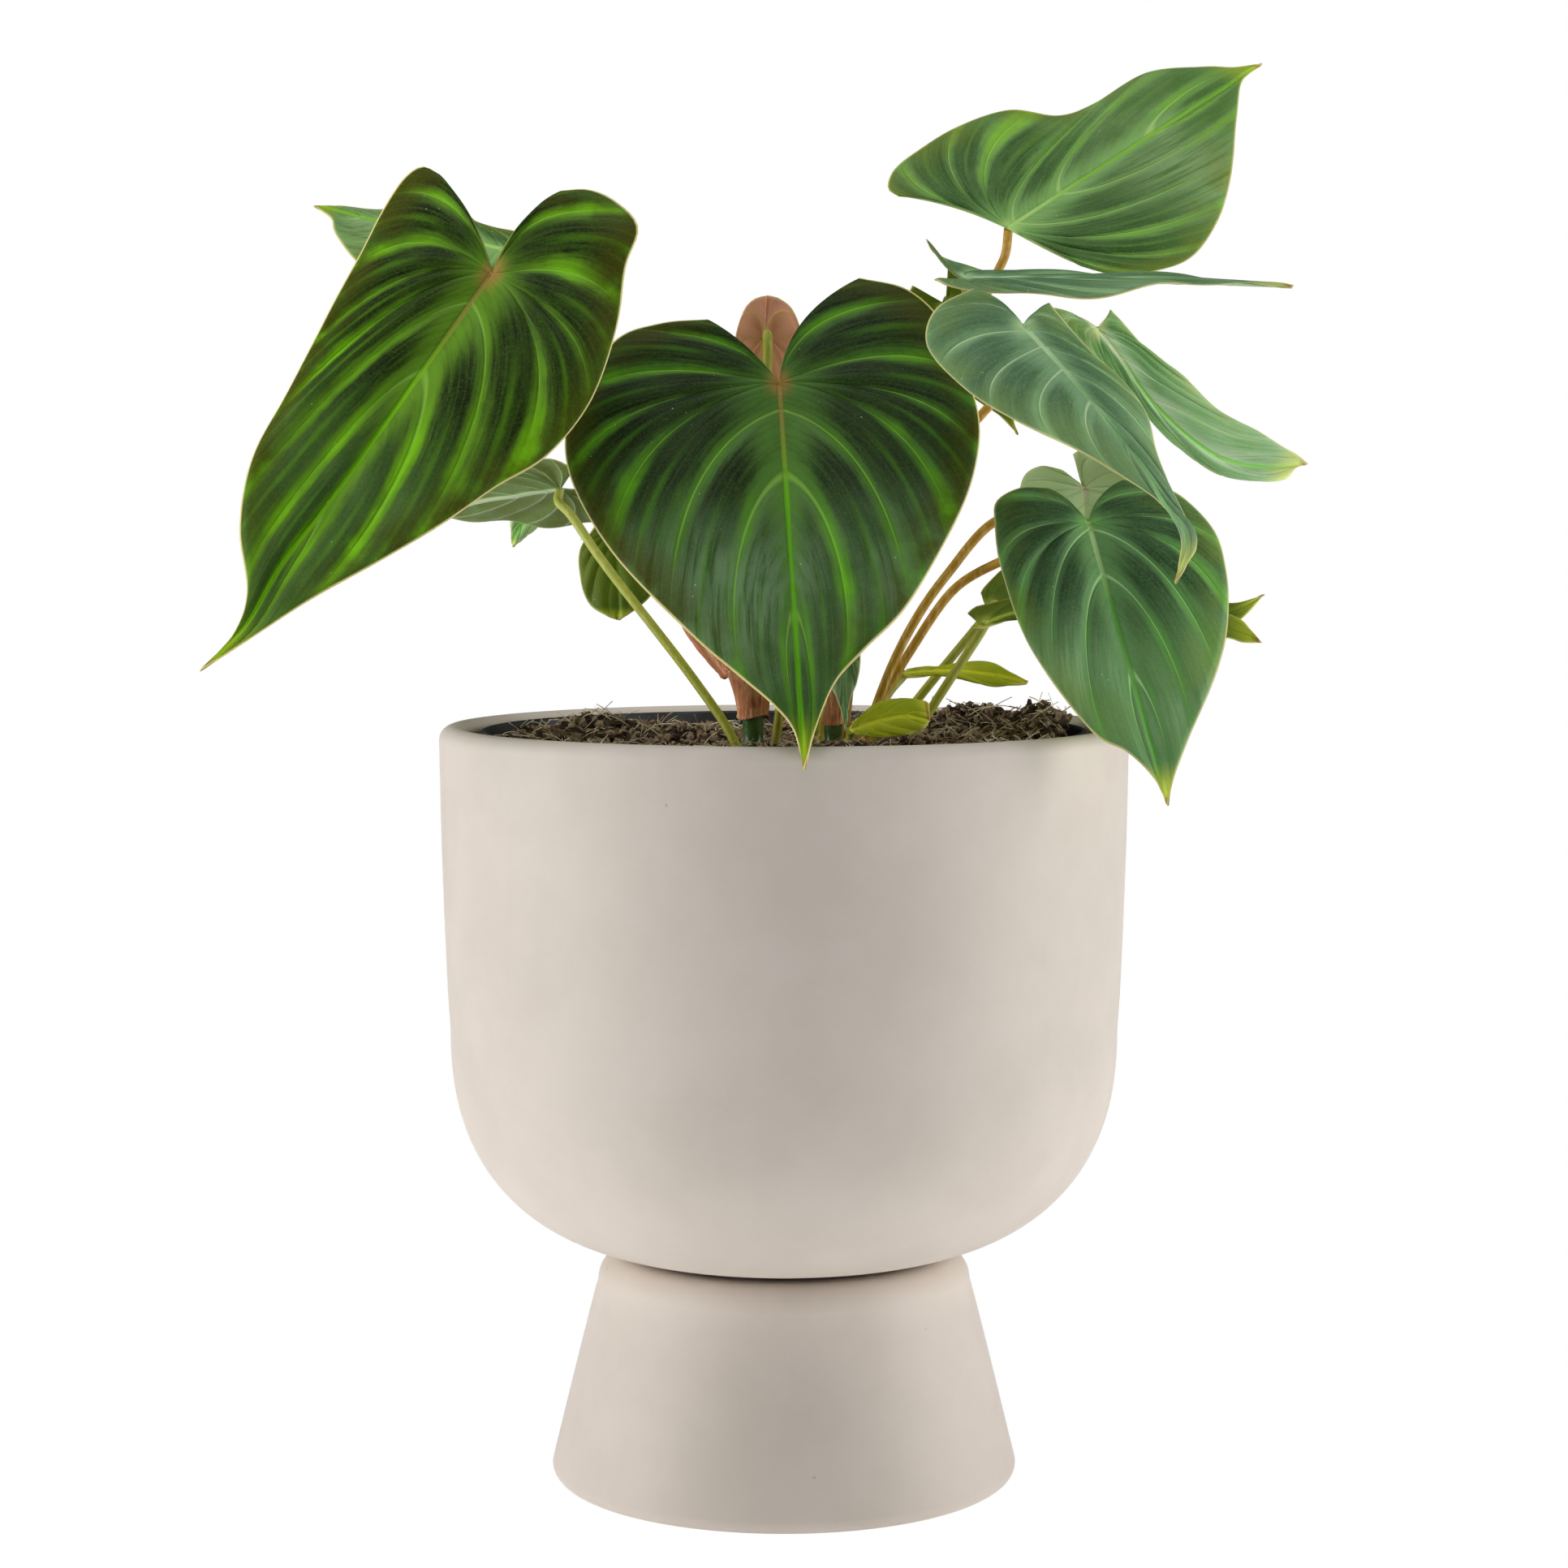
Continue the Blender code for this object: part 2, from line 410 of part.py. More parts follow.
class Blade:
    """A heart-shaped blade. at(u, v) gives a point of its middle surface, in millimetres: u runs from
    the tip, 0, round the margin to the lobe, 1, and v from the left margin, -1, over the midrib, 0,
    to the right margin, 1. A line of equal u follows the blade's side veins."""

    def __init__(self, leaf):
        yaw, tilt = math.radians(leaf["yaw"]), math.radians(leaf["tilt"])
        self.joint = np.array(leaf["joint"], float)
        self.across = np.array([math.cos(yaw), math.sin(yaw), 0])
        self.down = np.array([math.sin(yaw) * math.sin(tilt), -math.cos(yaw) * math.sin(tilt), -math.cos(tilt)])
        self.face = np.array([math.sin(yaw) * math.cos(tilt), -math.cos(yaw) * math.cos(tilt), math.sin(tilt)])
        # A blade seen from the front is bent towards the viewer, so that its outline keeps its place
        self.relief = np.array([0, -1.0, 0]) if leaf["frontal"] else self.face
        self.tip = np.array(leaf["tip"], float)
        self.length = np.linalg.norm(self.tip)
        self.rib = self.tip / self.length
        self.side = np.array([-self.rib[1], self.rib[0]])
        # The midrib as its distance to the side at each height along the line to the tip
        midrib = smooth_line([(0, 0), *leaf.get("rib", []), self.tip], 6)
        self.heights, self.bends = midrib @ self.rib, midrib @ self.side
        self.leaf = leaf
        self.margins = {-1: self.margin(leaf["left"], -1), 1: self.margin(leaf["right"], 1)}
        self.widths = {s: self.out(m).max() for s, m in self.margins.items()}

    def margin(self, outline, hand):
        if isinstance(outline, (int, float)):
            # side points to the left of a blade that hangs down, so hand turns it round
            wide = -hand * outline
            outline = [self.rib * self.length * a + self.side * wide * b for a, b in HEART]
        return smooth_line([self.tip, *outline], 6)

    def midrib(self, height):
        return np.interp(height, self.heights, self.bends)

    def out(self, points):
        """How far the points are from the midrib."""
        return np.abs(points @ self.side - self.midrib(points @ self.rib))

    def flat(self, u, v):
        """The point in the blade's own plane. A side vein leaves the midrib, runs out and bends
        towards the tip, and near the notch it follows the notch's edge."""
        hand = 1 if v >= 0 else -1
        t = abs(v)
        edge = along(self.margins[hand], u)
        top = edge @ self.rib
        start = self.length * max(0.0, 1 - u / self.leaf.get("rib_share", RIB_SHARE)) ** RIB_POWER
        height = start + (top - start) * ((1 - VEIN_BEND) * t + VEIN_BEND * t * t)
        aside = self.midrib(height) + t * (edge @ self.side - self.midrib(top))
        back = max(0.0, (u - 0.72) / 0.28) ** 1.5
        notch = np.array(self.leaf["sinus"][(hand + 1) // 2]) if "sinus" in self.leaf else edge * 0.45
        return (1 - back) * (height * self.rib + aside * self.side) + back * (2 * t * (1 - t) * notch + t * t * edge)

    def at(self, u, v):
        leaf, hand = self.leaf, 1 if v >= 0 else -1
        p = self.flat(u, v)
        out, share = self.out(p), p @ self.rib / self.length
        wide = out / self.widths[hand]
        rise = leaf["fold"] * out - leaf["crown"] * wide ** 2 + leaf["arch"] * (0.09 - (share - 0.3) ** 2)
        rise += leaf["lift"][(hand + 1) // 2] * (max(0.0, (u - 0.75) / 0.25) * abs(v)) ** 2
        rise += leaf["wave"] * v * v * math.sin(math.pi * (7 * u + 0.3 * hand))
        return self.joint + p[0] * self.across + p[1] * self.down + rise * self.relief


def make_blade(name, leaf, collection, material):
    blade = Blade(leaf)
    rows, columns = BLADE_ROWS[leaf["size"]], BLADE_COLUMNS[leaf["size"]]
    sheet = bmesh.new()
    bmesh.ops.create_grid(sheet, x_segments=2 * columns, y_segments=rows, size=1)
    for vertex in sheet.verts:
        u = (vertex.co.y + 1) / 2
        vertex.co = Vector(blade.at(u ** 1.15, vertex.co.x)) * MM
    bmesh.ops.remove_doubles(sheet, verts=sheet.verts, dist=0.0003)
    bmesh.ops.triangulate(sheet, faces=sheet.faces)
    mesh = bpy.data.meshes.new(f"blade_{name}")
    sheet.to_mesh(mesh)
    sheet.free()
    mesh.shade_smooth()
    obj = add_object(f"blade_{name}", mesh, collection, material)
    thick = obj.modifiers.new("Thickness", "SOLIDIFY")
    thick.thickness = BLADE_THICKNESS * MM
    thick.offset = 0
    return blade


def petiole_points(leaf, blade):
    """The petiole's line, from its root to just under the blade."""
    if "stem" in leaf:
        x, y = STEMS[leaf["stem"]]["place"]
        dx, dy = leaf["seat"]
        start = [(x + dx, y + dy, STEM_TOP_Z + GAP), (x + dx, y + dy, STEM_TOP_Z + 5)]
    else:
        x, y = leaf["root"]
        ground = soil_height(x, y)
        start = [(x, y, ground - ROOT_DEPTH), (x, y, ground + 1)]
    knee = blade.joint - leaf.get("knee", KNEE) * blade.face
    top = blade.joint - (BLADE_THICKNESS / 2 + GAP + 0.1) * blade.face
    bend = smooth_line([*start[1:], *leaf["route"], knee], 3)
    return [np.array(start[0], float), *bend, top]


def make_petiole(name, leaf, blade, collection, material):
    points = petiole_points(leaf, blade)
    curve = bpy.data.curves.new(f"petiole_{name}", "CURVE")
    curve.dimensions = "3D"
    curve.bevel_depth = MM
    curve.bevel_resolution = PETIOLE_SIDES
    curve.use_fill_caps = True
    spline = curve.splines.new("POLY")
    spline.points.add(len(points) - 1)
    thick, thin = leaf["radius"]
    for i, (p, place) in enumerate(zip(spline.points, points)):
        p.co = (*(place * MM), 1)
        p.radius = thick + (thin - thick) * i / (len(points) - 1)
    add_object(f"petiole_{name}", curve, collection, material)


def make_cutter(name, place, radius, bottom, top, cutters):
    bpy.ops.mesh.primitive_cylinder_add(
        vertices=10, radius=radius * MM, depth=(top - bottom) * MM,
        location=(place[0] * MM, place[1] * MM, (top + bottom) / 2 * MM))
    cutter = bpy.context.object
    cutter.name = name
    for home in list(cutter.users_collection):
        home.objects.unlink(cutter)
    cutters.objects.link(cutter)
    cutter.hide_render = True
    cutter.display_type = "WIRE"


def make_stem(name, stem, collection, green, brown):
    (x, y), r, crown = stem["place"], stem["radius"], stem["crown"]
    low, high = stem["sheath_bottom"], stem["sheath_top"]
    shaft = [(0, STEM_TOP_Z), (crown - 0.4, STEM_TOP_Z), (crown, STEM_TOP_Z - 2), (r, low), (r, STEM_ROOT_Z),
             (0, STEM_ROOT_Z)]
    inner, mouth = r + GAP, crown + GAP + 0.1
    tube = [(inner, low), (mouth, STEM_TOP_Z - 1.6), (mouth, high - 1.5), (mouth + 0.5, high),
            (mouth + 0.5 + SHEATH_WALL, high), (mouth + SHEATH_WALL, high - 3), (inner + SHEATH_WALL + 0.2, low + 2.5),
            (inner + SHEATH_WALL - 0.2, low), (inner, low)]
    for label, profile, material in (("stem", shaft, green), ("sheath", tube, brown)):
        obj = turned(f"{label}_{name}", profile, collection, material)
        obj.modifiers["Turn"].steps = obj.modifiers["Turn"].render_steps = 14
        obj.location = (x * MM, y * MM, 0)


def main():
    clear_scene()
    parts = make_collection("potted_philodendron")
    cutters = make_collection("cutters")
    materials = {name: make_material(name) for name in COLOURS}

    turned("bowl", bowl_profile(), parts, materials["ceramic"])
    turned("foot", foot_profile(), parts, materials["ceramic"])
    turned("nursery_pot", nursery_profile(), parts, materials["black_plastic"])
    soil = make_soil(parts, materials["soil"])

    for name, stem in STEMS.items():
        make_stem(name, stem, parts, materials["stem_green"], materials["sheath_brown"])
        make_cutter(f"hole_stem_{name}", stem["place"], stem["radius"] + GAP, STEM_ROOT_Z - GAP, SOIL_Z + 20, cutters)
    make_blade("bract", BRACT, parts, materials["sheath_brown"])
    for name, leaf in LEAVES.items():
        blade = make_blade(name, leaf, parts, materials["leaf_green"])
        make_petiole(name, leaf, blade, parts, materials["petiole_brown"])
        if "root" in leaf:
            bottom = soil_height(*leaf["root"]) - ROOT_DEPTH - GAP
            make_cutter(f"hole_{name}", leaf["root"], leaf["radius"][0] + GAP + 0.1, bottom, SOIL_Z + 20, cutters)

    holes = soil.modifiers.new("Holes", "BOOLEAN")
    holes.operation = "DIFFERENCE"
    holes.operand_type = "COLLECTION"
    holes.collection = cutters
    holes.solver = "EXACT"


main()
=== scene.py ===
# %% [markdown]
# # A potted velvet-leaved philodendron
#
# A young climbing philodendron grows in a black nursery pot, and that pot stands inside a matte
# beige ceramic planter with a flared foot. The measured solids, called the frame here, already hold
# every piece in its place, in metres. This script gives each piece its real surface: blades with
# sunken veins, stalks with fine hairs, papery sheaths, crumbly soil and a turned ceramic body.

# %% Load the frame
import math
from types import SimpleNamespace

import bmesh
import bpy
import numpy as np
from mathutils import Matrix, Vector, noise


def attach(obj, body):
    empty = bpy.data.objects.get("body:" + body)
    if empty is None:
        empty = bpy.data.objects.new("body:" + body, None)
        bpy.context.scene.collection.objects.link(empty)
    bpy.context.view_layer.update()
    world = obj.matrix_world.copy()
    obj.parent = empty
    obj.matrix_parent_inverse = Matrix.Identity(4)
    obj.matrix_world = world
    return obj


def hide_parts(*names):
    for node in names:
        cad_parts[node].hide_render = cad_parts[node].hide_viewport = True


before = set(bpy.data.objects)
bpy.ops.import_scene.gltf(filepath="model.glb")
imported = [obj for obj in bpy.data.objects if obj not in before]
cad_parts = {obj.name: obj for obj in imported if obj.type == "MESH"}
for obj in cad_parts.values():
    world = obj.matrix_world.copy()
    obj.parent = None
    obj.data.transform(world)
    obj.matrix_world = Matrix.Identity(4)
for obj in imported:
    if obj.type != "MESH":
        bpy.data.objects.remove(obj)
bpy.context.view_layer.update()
MM = 0.001

# %% [markdown]
# ## Camera, light and floor
#
# The camera stands 76 cm in front of the planter, a little above its rim, and looks slightly down.
# One long lens fits the planter's outline and the leaves alike. Two large soft lights stand at the
# sides, because the planter is brightest at its two edges and darker down its middle. A third hangs
# overhead, for the soil, the rim and the faces of the leaves. The picture has a plain white backdrop,
# so to the camera alone both the world and the floor look pure white.

# %% Camera
camera_data = bpy.data.cameras.new("camera")
camera_data.lens = 80.04
camera_data.sensor_width = 36
camera_data.clip_start = 0.02
camera = bpy.data.objects.new("camera", camera_data)
camera.location = (0, -0.760, 0.2142)
camera.rotation_euler = (math.radians(90 - 4.62), 0, 0)
bpy.context.collection.objects.link(camera)
bpy.context.scene.camera = camera
bpy.context.scene.view_settings.view_transform = "Standard"


# %% Lights
def soft_light(name, place, target, size, power, colour=(1, 1, 1)):
    """A rectangular lamp that faces its target."""
    data = bpy.data.lights.new(name, "AREA")
    data.shape = "RECTANGLE"
    data.size, data.size_y = size
    data.energy = power
    data.color = colour
    light = bpy.data.objects.new(name, data)
    light.location = place
    light.rotation_euler = (Vector(target) - Vector(place)).to_track_quat("-Z", "Y").to_euler()
    bpy.context.collection.objects.link(light)


WARM_WHITE = (1, 0.99, 0.97)
for name, place in (("left_window", (-1.5, -0.23, 0.40)), ("right_window", (1.5, -0.05, 0.40))):
    soft_light(name, place, (0, 0, 0.12), (1.0, 0.76), 13, WARM_WHITE)
soft_light("ceiling", (-0.15, -0.14, 1.8), (0, 0, 0.2), (1.2, 1.2), 12.5)


# %% World and floor
def white_to_camera(tree, kind, plain, output):
    """Shows the camera plain white, and every other ray the shader given as plain."""
    seen = tree.nodes.new("ShaderNodeLightPath")
    white = tree.nodes.new(kind)
    white.inputs["Color"].default_value = (1, 1, 1, 1)
    chosen = tree.nodes.new("ShaderNodeMixShader")
    sources = (seen.outputs["Is Camera Ray"], plain.outputs[0], white.outputs[0])
    for source, target in zip(sources, chosen.inputs):
        tree.links.new(source, target)
    tree.links.new(chosen.outputs[0], tree.nodes[output].inputs["Surface"])


world = bpy.data.worlds.new("studio")
bpy.context.scene.world = world
world.use_nodes = True
fill = world.node_tree.nodes["Background"]
fill.inputs["Color"].default_value = (0.98, 0.99, 1, 1)
fill.inputs["Strength"].default_value = 0.04
white_to_camera(world.node_tree, "ShaderNodeBackground", fill, "World Output")

HALF_FLOOR = 9
corners = [(x * HALF_FLOOR, y * HALF_FLOOR, 0) for x, y in ((-1, -1), (1, -1), (1, 1), (-1, 1))]
floor_mesh = bpy.data.meshes.new("floor")
floor_mesh.from_pydata(corners, [], [(0, 1, 2, 3)])
floor = bpy.data.objects.new("floor", floor_mesh)
bpy.context.collection.objects.link(floor)
floor_finish = bpy.data.materials.new("pale_floor")
floor_finish.use_nodes = True
floor_shader = floor_finish.node_tree.nodes["Principled BSDF"]
floor_shader.inputs["Base Color"].default_value = (0.96, 0.96, 0.96, 1)
floor_shader.inputs["Roughness"].default_value = 0.7
floor_shader.inputs["Emission Color"].default_value = (*WARM_WHITE, 1)
floor_shader.inputs["Emission Strength"].default_value = 0.27
white_to_camera(floor_finish.node_tree, "ShaderNodeEmission", floor_shader, "Material Output")
floor_mesh.materials.append(floor_finish)
print("camera, lights, world and floor are in place")

# %% [markdown]
# ## Arithmetic on sockets
#
# A finish is a recipe of numbers: how far is this point from a vein, how near the margin. Wired by
# hand, each plus or minus is a node. This class wraps an output, so that Python's own operators add
# those nodes, for materials and for Geometry Nodes alike.


# %% The wrapper
class Wire:
    """An output socket that takes part in arithmetic. Wire(tree) alone is a starting point for node()."""

    def __init__(self, tree, socket=None):
        self.tree, self.socket = tree, socket

    def node(self, kind, settings=None, inputs=None, output=0):
        """Adds any node: its settings first, then the values or links of its sockets."""
        made = self.tree.nodes.new(kind)
        for key, value in (settings or {}).items():
            setattr(made, key, value)
        for key, value in (inputs or {}).items():
            if isinstance(value, Wire):
                self.tree.links.new(value.socket, made.inputs[key])
            else:
                made.inputs[key].default_value = value
        return Wire(self.tree, made.outputs[output])

    def maths(self, operation, *values):
        """One operation on the values, on this socket only if it is named among them."""
        return self.node("ShaderNodeMath", {"operation": operation}, dict(enumerate(values)))

    def __add__(self, other):
        return self.maths("ADD", self, other)

    def __mul__(self, other):
        return self.maths("MULTIPLY", self, other)

    def __sub__(self, other):
        return self.maths("SUBTRACT", self, other)

    def __rsub__(self, other):
        return self.maths("SUBTRACT", other, self)

    def __truediv__(self, other):
        return self.maths("DIVIDE", self, other)

    def between(self, low, high):
        """0 below low, 1 above high, and a smooth rise between them. low may be the larger."""
        return self.node("ShaderNodeMapRange", {"interpolation_type": "SMOOTHSTEP"},
                         {"Value": self, "From Min": low, "From Max": high})

    def wave(self, period):
        """Rises from 0 to 1 and falls again, once in each period, and is 0 at its multiples."""
        return self.maths("PINGPONG", self, period / 2) * (2 / period)

    def blend(self, first, second):
        """The colour first where this is 0 and second where it is 1."""
        return self.node("ShaderNodeMix", {"data_type": "RGBA"}, {0: self, 6: first, 7: second}, 2)

    def clouds(self, scale, detail=2.0, roughness=0.5):
        """Soft noise over these coordinates."""
        return self.node("ShaderNodeTexNoise", inputs={
            "Vector": self, "Scale": scale, "Detail": detail, "Roughness": roughness})

    def cells(self, scale):
        """The distance to the nearest of many scattered points, over these coordinates."""
        return self.node("ShaderNodeTexVoronoi", inputs={"Vector": self, "Scale": scale})

    def stretched(self, *scale):
        """These coordinates at another scale along each axis."""
        return self.node("ShaderNodeMapping", inputs={"Vector": self, "Scale": scale})


def paint(red, green, blue, lift=1.0):
    """A colour as a picture shows it, 0 to 255, as the linear colour that a shader needs."""
    def linear(part):
        return part / 255 / 12.92 if part < 10.3 else ((part / 255 + 0.055) / 1.055) ** 2.4
    return (*[min(1.0, lift * linear(part)) for part in (red, green, blue)], 1)


def new_finish(name, **constants):
    """A material, its Principled shader and its object coordinates, on which the recipe is built.
    constants are set on the shader's own sockets, which Python names with underscores."""
    finish = bpy.data.materials.new(name)
    finish.use_nodes = True
    shader = finish.node_tree.nodes["Principled BSDF"]
    for key, value in constants.items():
        shader.inputs[key.replace("_", " ")].default_value = value
    return finish, shader, Wire(finish.node_tree).node("ShaderNodeTexCoord", output="Object")


def join(wire, shader, name):
    """Links a wire to one of the shader's sockets."""
    wire.tree.links.new(wire.socket, shader.inputs[name])


def bump(height, shader, distance, strength):
    """Gives the shader a relief from a wire of heights, with its full depth in metres."""
    relief = {"Height": height, "Distance": distance, "Strength": strength}
    join(height.node("ShaderNodeBump", inputs=relief), shader, "Normal")


def put(name, mesh, node, finish=None, smooth=True):
    """Makes a finished piece of a mesh: it stands for its CAD node, which it hides, and hangs under the root
    body.
    """
    piece = bpy.data.objects.new(name, mesh)
    bpy.context.collection.objects.link(piece)
    if finish:
        mesh.materials.clear()
        mesh.materials.append(finish)
    if smooth:
        mesh.shade_smooth()
    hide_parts(node)
    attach(piece, "root")
    return piece


# %% [markdown]
# ## Building with Geometry Nodes
#
# What repeats or follows a rule is grown by a node tree: the turned ceramic, the stalks with their
# bristles, and the crumbs and fibres of the soil. The helpers below make a tree with named inputs, run
# it on an object, and keep the result as a plain mesh.


# %% Geometry Nodes helpers
def new_tree(name, **inputs):
    """A Geometry Nodes tree with a Geometry input and these named inputs. Returns it and its inputs."""
    tree = bpy.data.node_groups.new(name, "GeometryNodeTree")
    for way in ("OUTPUT", "INPUT"):
        tree.interface.new_socket("Geometry", in_out=way, socket_type="NodeSocketGeometry")
    kinds = {int: "NodeSocketInt", float: "NodeSocketFloat", bpy.types.Material: "NodeSocketMaterial"}
    for label, default in inputs.items():
        kind = default if isinstance(default, type) else type(default)
        socket = tree.interface.new_socket(label.replace("_", " "), in_out="INPUT", socket_type=kinds[kind])
        if kind is not bpy.types.Material:
            socket.default_value = default
    entry = tree.nodes.new("NodeGroupInput")
    return tree, {socket.name: Wire(tree, socket) for socket in entry.outputs if socket.name}


def finish_tree(*shapes):
    """Joins the shapes, makes their copies real and gives them out as the tree's result."""
    tree = shapes[0].tree
    heap = tree.nodes.new("GeometryNodeJoinGeometry")
    for shape in shapes:
        tree.links.new(shape.socket, heap.inputs[0])
    whole = Wire(tree, heap.outputs[0])
    real = whole.node("GeometryNodeRealizeInstances", inputs={0: whole})
    tree.links.new(real.socket, tree.nodes.new("NodeGroupOutput").inputs[0])


def clad(shape, material):
    """The shape with a material on it."""
    return shape.node("GeometryNodeSetMaterial", inputs={"Geometry": shape, "Material": material})


def swept(curve, sides, radius):
    """A tube along a curve, closed at both ends."""
    ring = curve.node("GeometryNodeCurvePrimitiveCircle", {"mode": "RADIUS"},
                      {"Resolution": sides, "Radius": radius})
    return curve.node("GeometryNodeCurveToMesh", inputs={
        "Curve": curve, "Profile Curve": ring, "Fill Caps": True})


def strewn(ground, copies, density, seed, scale, turn=None):
    """Copies of a shape at random points of a surface. They stand on end there, unless turn is given."""
    points = ground.node("GeometryNodeDistributePointsOnFaces", inputs={
        "Mesh": ground, "Density": density, "Seed": seed})
    upright = Wire(ground.tree, points.socket.node.outputs["Rotation"])
    return ground.node("GeometryNodeInstanceOnPoints", inputs={
        "Points": points, "Instance": copies, "Rotation": turn or upright, "Scale": scale})


def grown(data, tree, **inputs):
    """Runs a tree on a mesh or curve and returns the plain mesh that comes out."""
    seed = bpy.data.objects.new("seed", data)
    bpy.context.collection.objects.link(seed)
    modifier = seed.modifiers.new("grow", "NODES")
    modifier.node_group = tree
    for item in tree.interface.items_tree:
        label = item.name.replace(" ", "_")
        if item.in_out == "INPUT" and label in inputs:
            modifier[item.identifier] = inputs[label]
    graph = bpy.context.evaluated_depsgraph_get()
    graph.update()
    mesh = bpy.data.meshes.new_from_object(seed.evaluated_get(graph), depsgraph=graph)
    bpy.data.objects.remove(seed)
    return mesh


def line_curve(name, points, radii=None):
    """A curve of straight steps through points in millimetres, with radii in millimetres."""
    curve = bpy.data.curves.new(name, "CURVE")
    curve.dimensions = "3D"
    spline = curve.splines.new("POLY")
    spline.points.add(len(points) - 1)
    for i, point in enumerate(points):
        spline.points[i].co = (*(c * MM for c in point), 1)
        spline.points[i].radius = radii[i] if radii is not None else 1
    return curve


# %% [markdown]
# ## The planter
#
# The planter is thrown or cast and then turned, so each part is one profile swept round an axis. The
# tree takes the profile's points and a grid, and rolls the grid up: its rows take a point's radius
# and height, and its columns an angle. 192 columns keep the outline round in a close view.

# %% A tree that turns a profile
TURN_STEPS = 192
turning, given = new_tree("turned_shape", Steps=TURN_STEPS, Rows=2, Finish=bpy.types.Material)
geometry = given["Geometry"]
dots = geometry.node("GeometryNodeCurveToPoints", {"mode": "EVALUATED"}, {0: geometry})
grid = geometry.node("GeometryNodeMeshGrid", inputs={
    "Size X": 1.0, "Size Y": 1.0, "Vertices X": given["Steps"] + 1, "Vertices Y": given["Rows"]})
number = geometry.node("GeometryNodeInputIndex")
row = number.maths("MODULO", number, given["Rows"])
turn = number.maths("FLOOR", number / given["Rows"]) / given["Steps"] * (2 * math.pi)
place = geometry.node("GeometryNodeInputPosition")
found = geometry.node("GeometryNodeSampleIndex", {"data_type": "FLOAT_VECTOR"},
                      {0: dots, "Value": place, "Index": row})
radius, height = (found.node("ShaderNodeSeparateXYZ", inputs={0: found}, output=axis) for axis in "XZ")
rolled = geometry.node("ShaderNodeCombineXYZ", inputs={
    "X": radius * turn.maths("COSINE", turn), "Y": radius * turn.maths("SINE", turn), "Z": height})
shape = geometry.node("GeometryNodeSetPosition", inputs={"Geometry": grid, "Position": rolled})
shape = geometry.node("GeometryNodeMergeByDistance", inputs={"Geometry": shape, "Distance": 0.00001})
shape = geometry.node("GeometryNodeSetShadeSmooth", inputs={0: shape})
finish_tree(clad(shape, given["Finish"]))
print("turning tree:", len(turning.nodes), "nodes")


def outward(mesh):
    """Turns a closed mesh's faces outwards."""
    work = bmesh.new()
    work.from_mesh(mesh)
    bmesh.ops.recalc_face_normals(work, faces=work.faces)
    if work.calc_volume(signed=True) < 0:
        bmesh.ops.reverse_faces(work, faces=work.faces)
    work.to_mesh(mesh)
    work.free()
    return mesh


def turned(name, profile, finish, steps=TURN_STEPS):
    """Turns a profile of (radius, height) in millimetres, from axis to axis, as one closed body."""
    mesh = outward(grown(line_curve(name, [(r, 0, z) for r, z in profile]), turning,
                         Steps=steps, Rows=len(profile), Finish=finish))
    print("  ", name, len(mesh.polygons), "faces")
    return mesh


# %% [markdown]
# The ceramic is a matte glaze. It has a faint mottle, a few darker iron specks and pinholes, and
# very fine turning rings. All of them are worked out from object coordinates, so the pattern stays
# on the pot. None is strong: seen from a metre away the pot looks plain.

# %% Ceramic
ceramic, shader, coords = new_finish("matte_ceramic", Roughness=0.58, Specular_IOR_Level=0.35)
mottle = coords.clouds(38.0, 5.0, 0.6)
grain = coords.clouds(900.0, 3.0)
specks = coords.cells(260.0)
speck_pick = coords.clouds(55.0, 1.0)
speck = specks.between(0.12, 0.05) * speck_pick.between(0.70, 0.74)
flat_coords = coords.stretched(0.02, 0.02, 1.0)
rings = flat_coords.clouds(420.0)
body_colour = mottle.between(0.3, 0.7).blend(paint(222, 212, 202), paint(229, 219, 210))
body_colour = (speck * 0.35).blend(body_colour, paint(150, 132, 112))
join((grain.between(0.62, 0.8) * 0.10).blend(body_colour, paint(205, 192, 178)), shader, "Base Color")
join(mottle * 0.12 + 0.52, shader, "Roughness")
relief = grain * 0.5 + rings * 0.9 - speck * 0.8
bump(relief, shader, 0.00012, 0.35)


# %% Bowl and foot profiles
def arc(centre, radius, start, end, steps):
    """Points on a circle from one angle to another, in degrees."""
    angles = [math.radians(start + (end - start) * i / steps) for i in range(steps + 1)]
    return [(centre[0] + radius * math.cos(a), centre[1] + radius * math.sin(a)) for a in angles]


def belly(inset, steps):
    """The wall where it turns in: a squarish quarter ellipse, from the side to the middle."""
    found = []
    for i in range(steps + 1):
        angle = math.radians(90 * i / steps)
        wide, deep = max(0.0, math.cos(angle)) ** (2 / 2.4), math.sin(angle) ** (2 / 2.4)
        found.append((20 + (53 - inset) * wide, 100 - (50 - inset) * deep))
    return found


lip = arc((72, 163), 3, 180, 0, 12)
wall = [(75 - 0.6 * k / 5 - 1.4 * (max(0, k - 2) / 8) ** 1.6, 163 - 7.9 * k) for k in range(1, 8)]
bowl_profile = [(0, 56), *belly(6, 30)[::-1], *lip, *wall, *belly(0, 40), (0, 50)]
put("planter_bowl", turned("planter_bowl", bowl_profile, ceramic), "bowl", ceramic)
foot_top = 49.6
shoulder = arc((35, foot_top - 6), 6, 90, 0, 12)
side = [(41 + 10.2 * (k / 10) ** 0.97, foot_top - 6 - 40.6 * k / 10) for k in range(1, 11)]
hem = arc((48.4, 2.8), 2.8, 0, -90, 8)
foot_profile = [(0, 7), (43, 7), (35.2, 38), (27, 44.5), (27, foot_top), *shoulder, *side, *hem, (0, 0)]
put("planter_foot", turned("planter_foot", foot_profile, ceramic), "foot", ceramic)

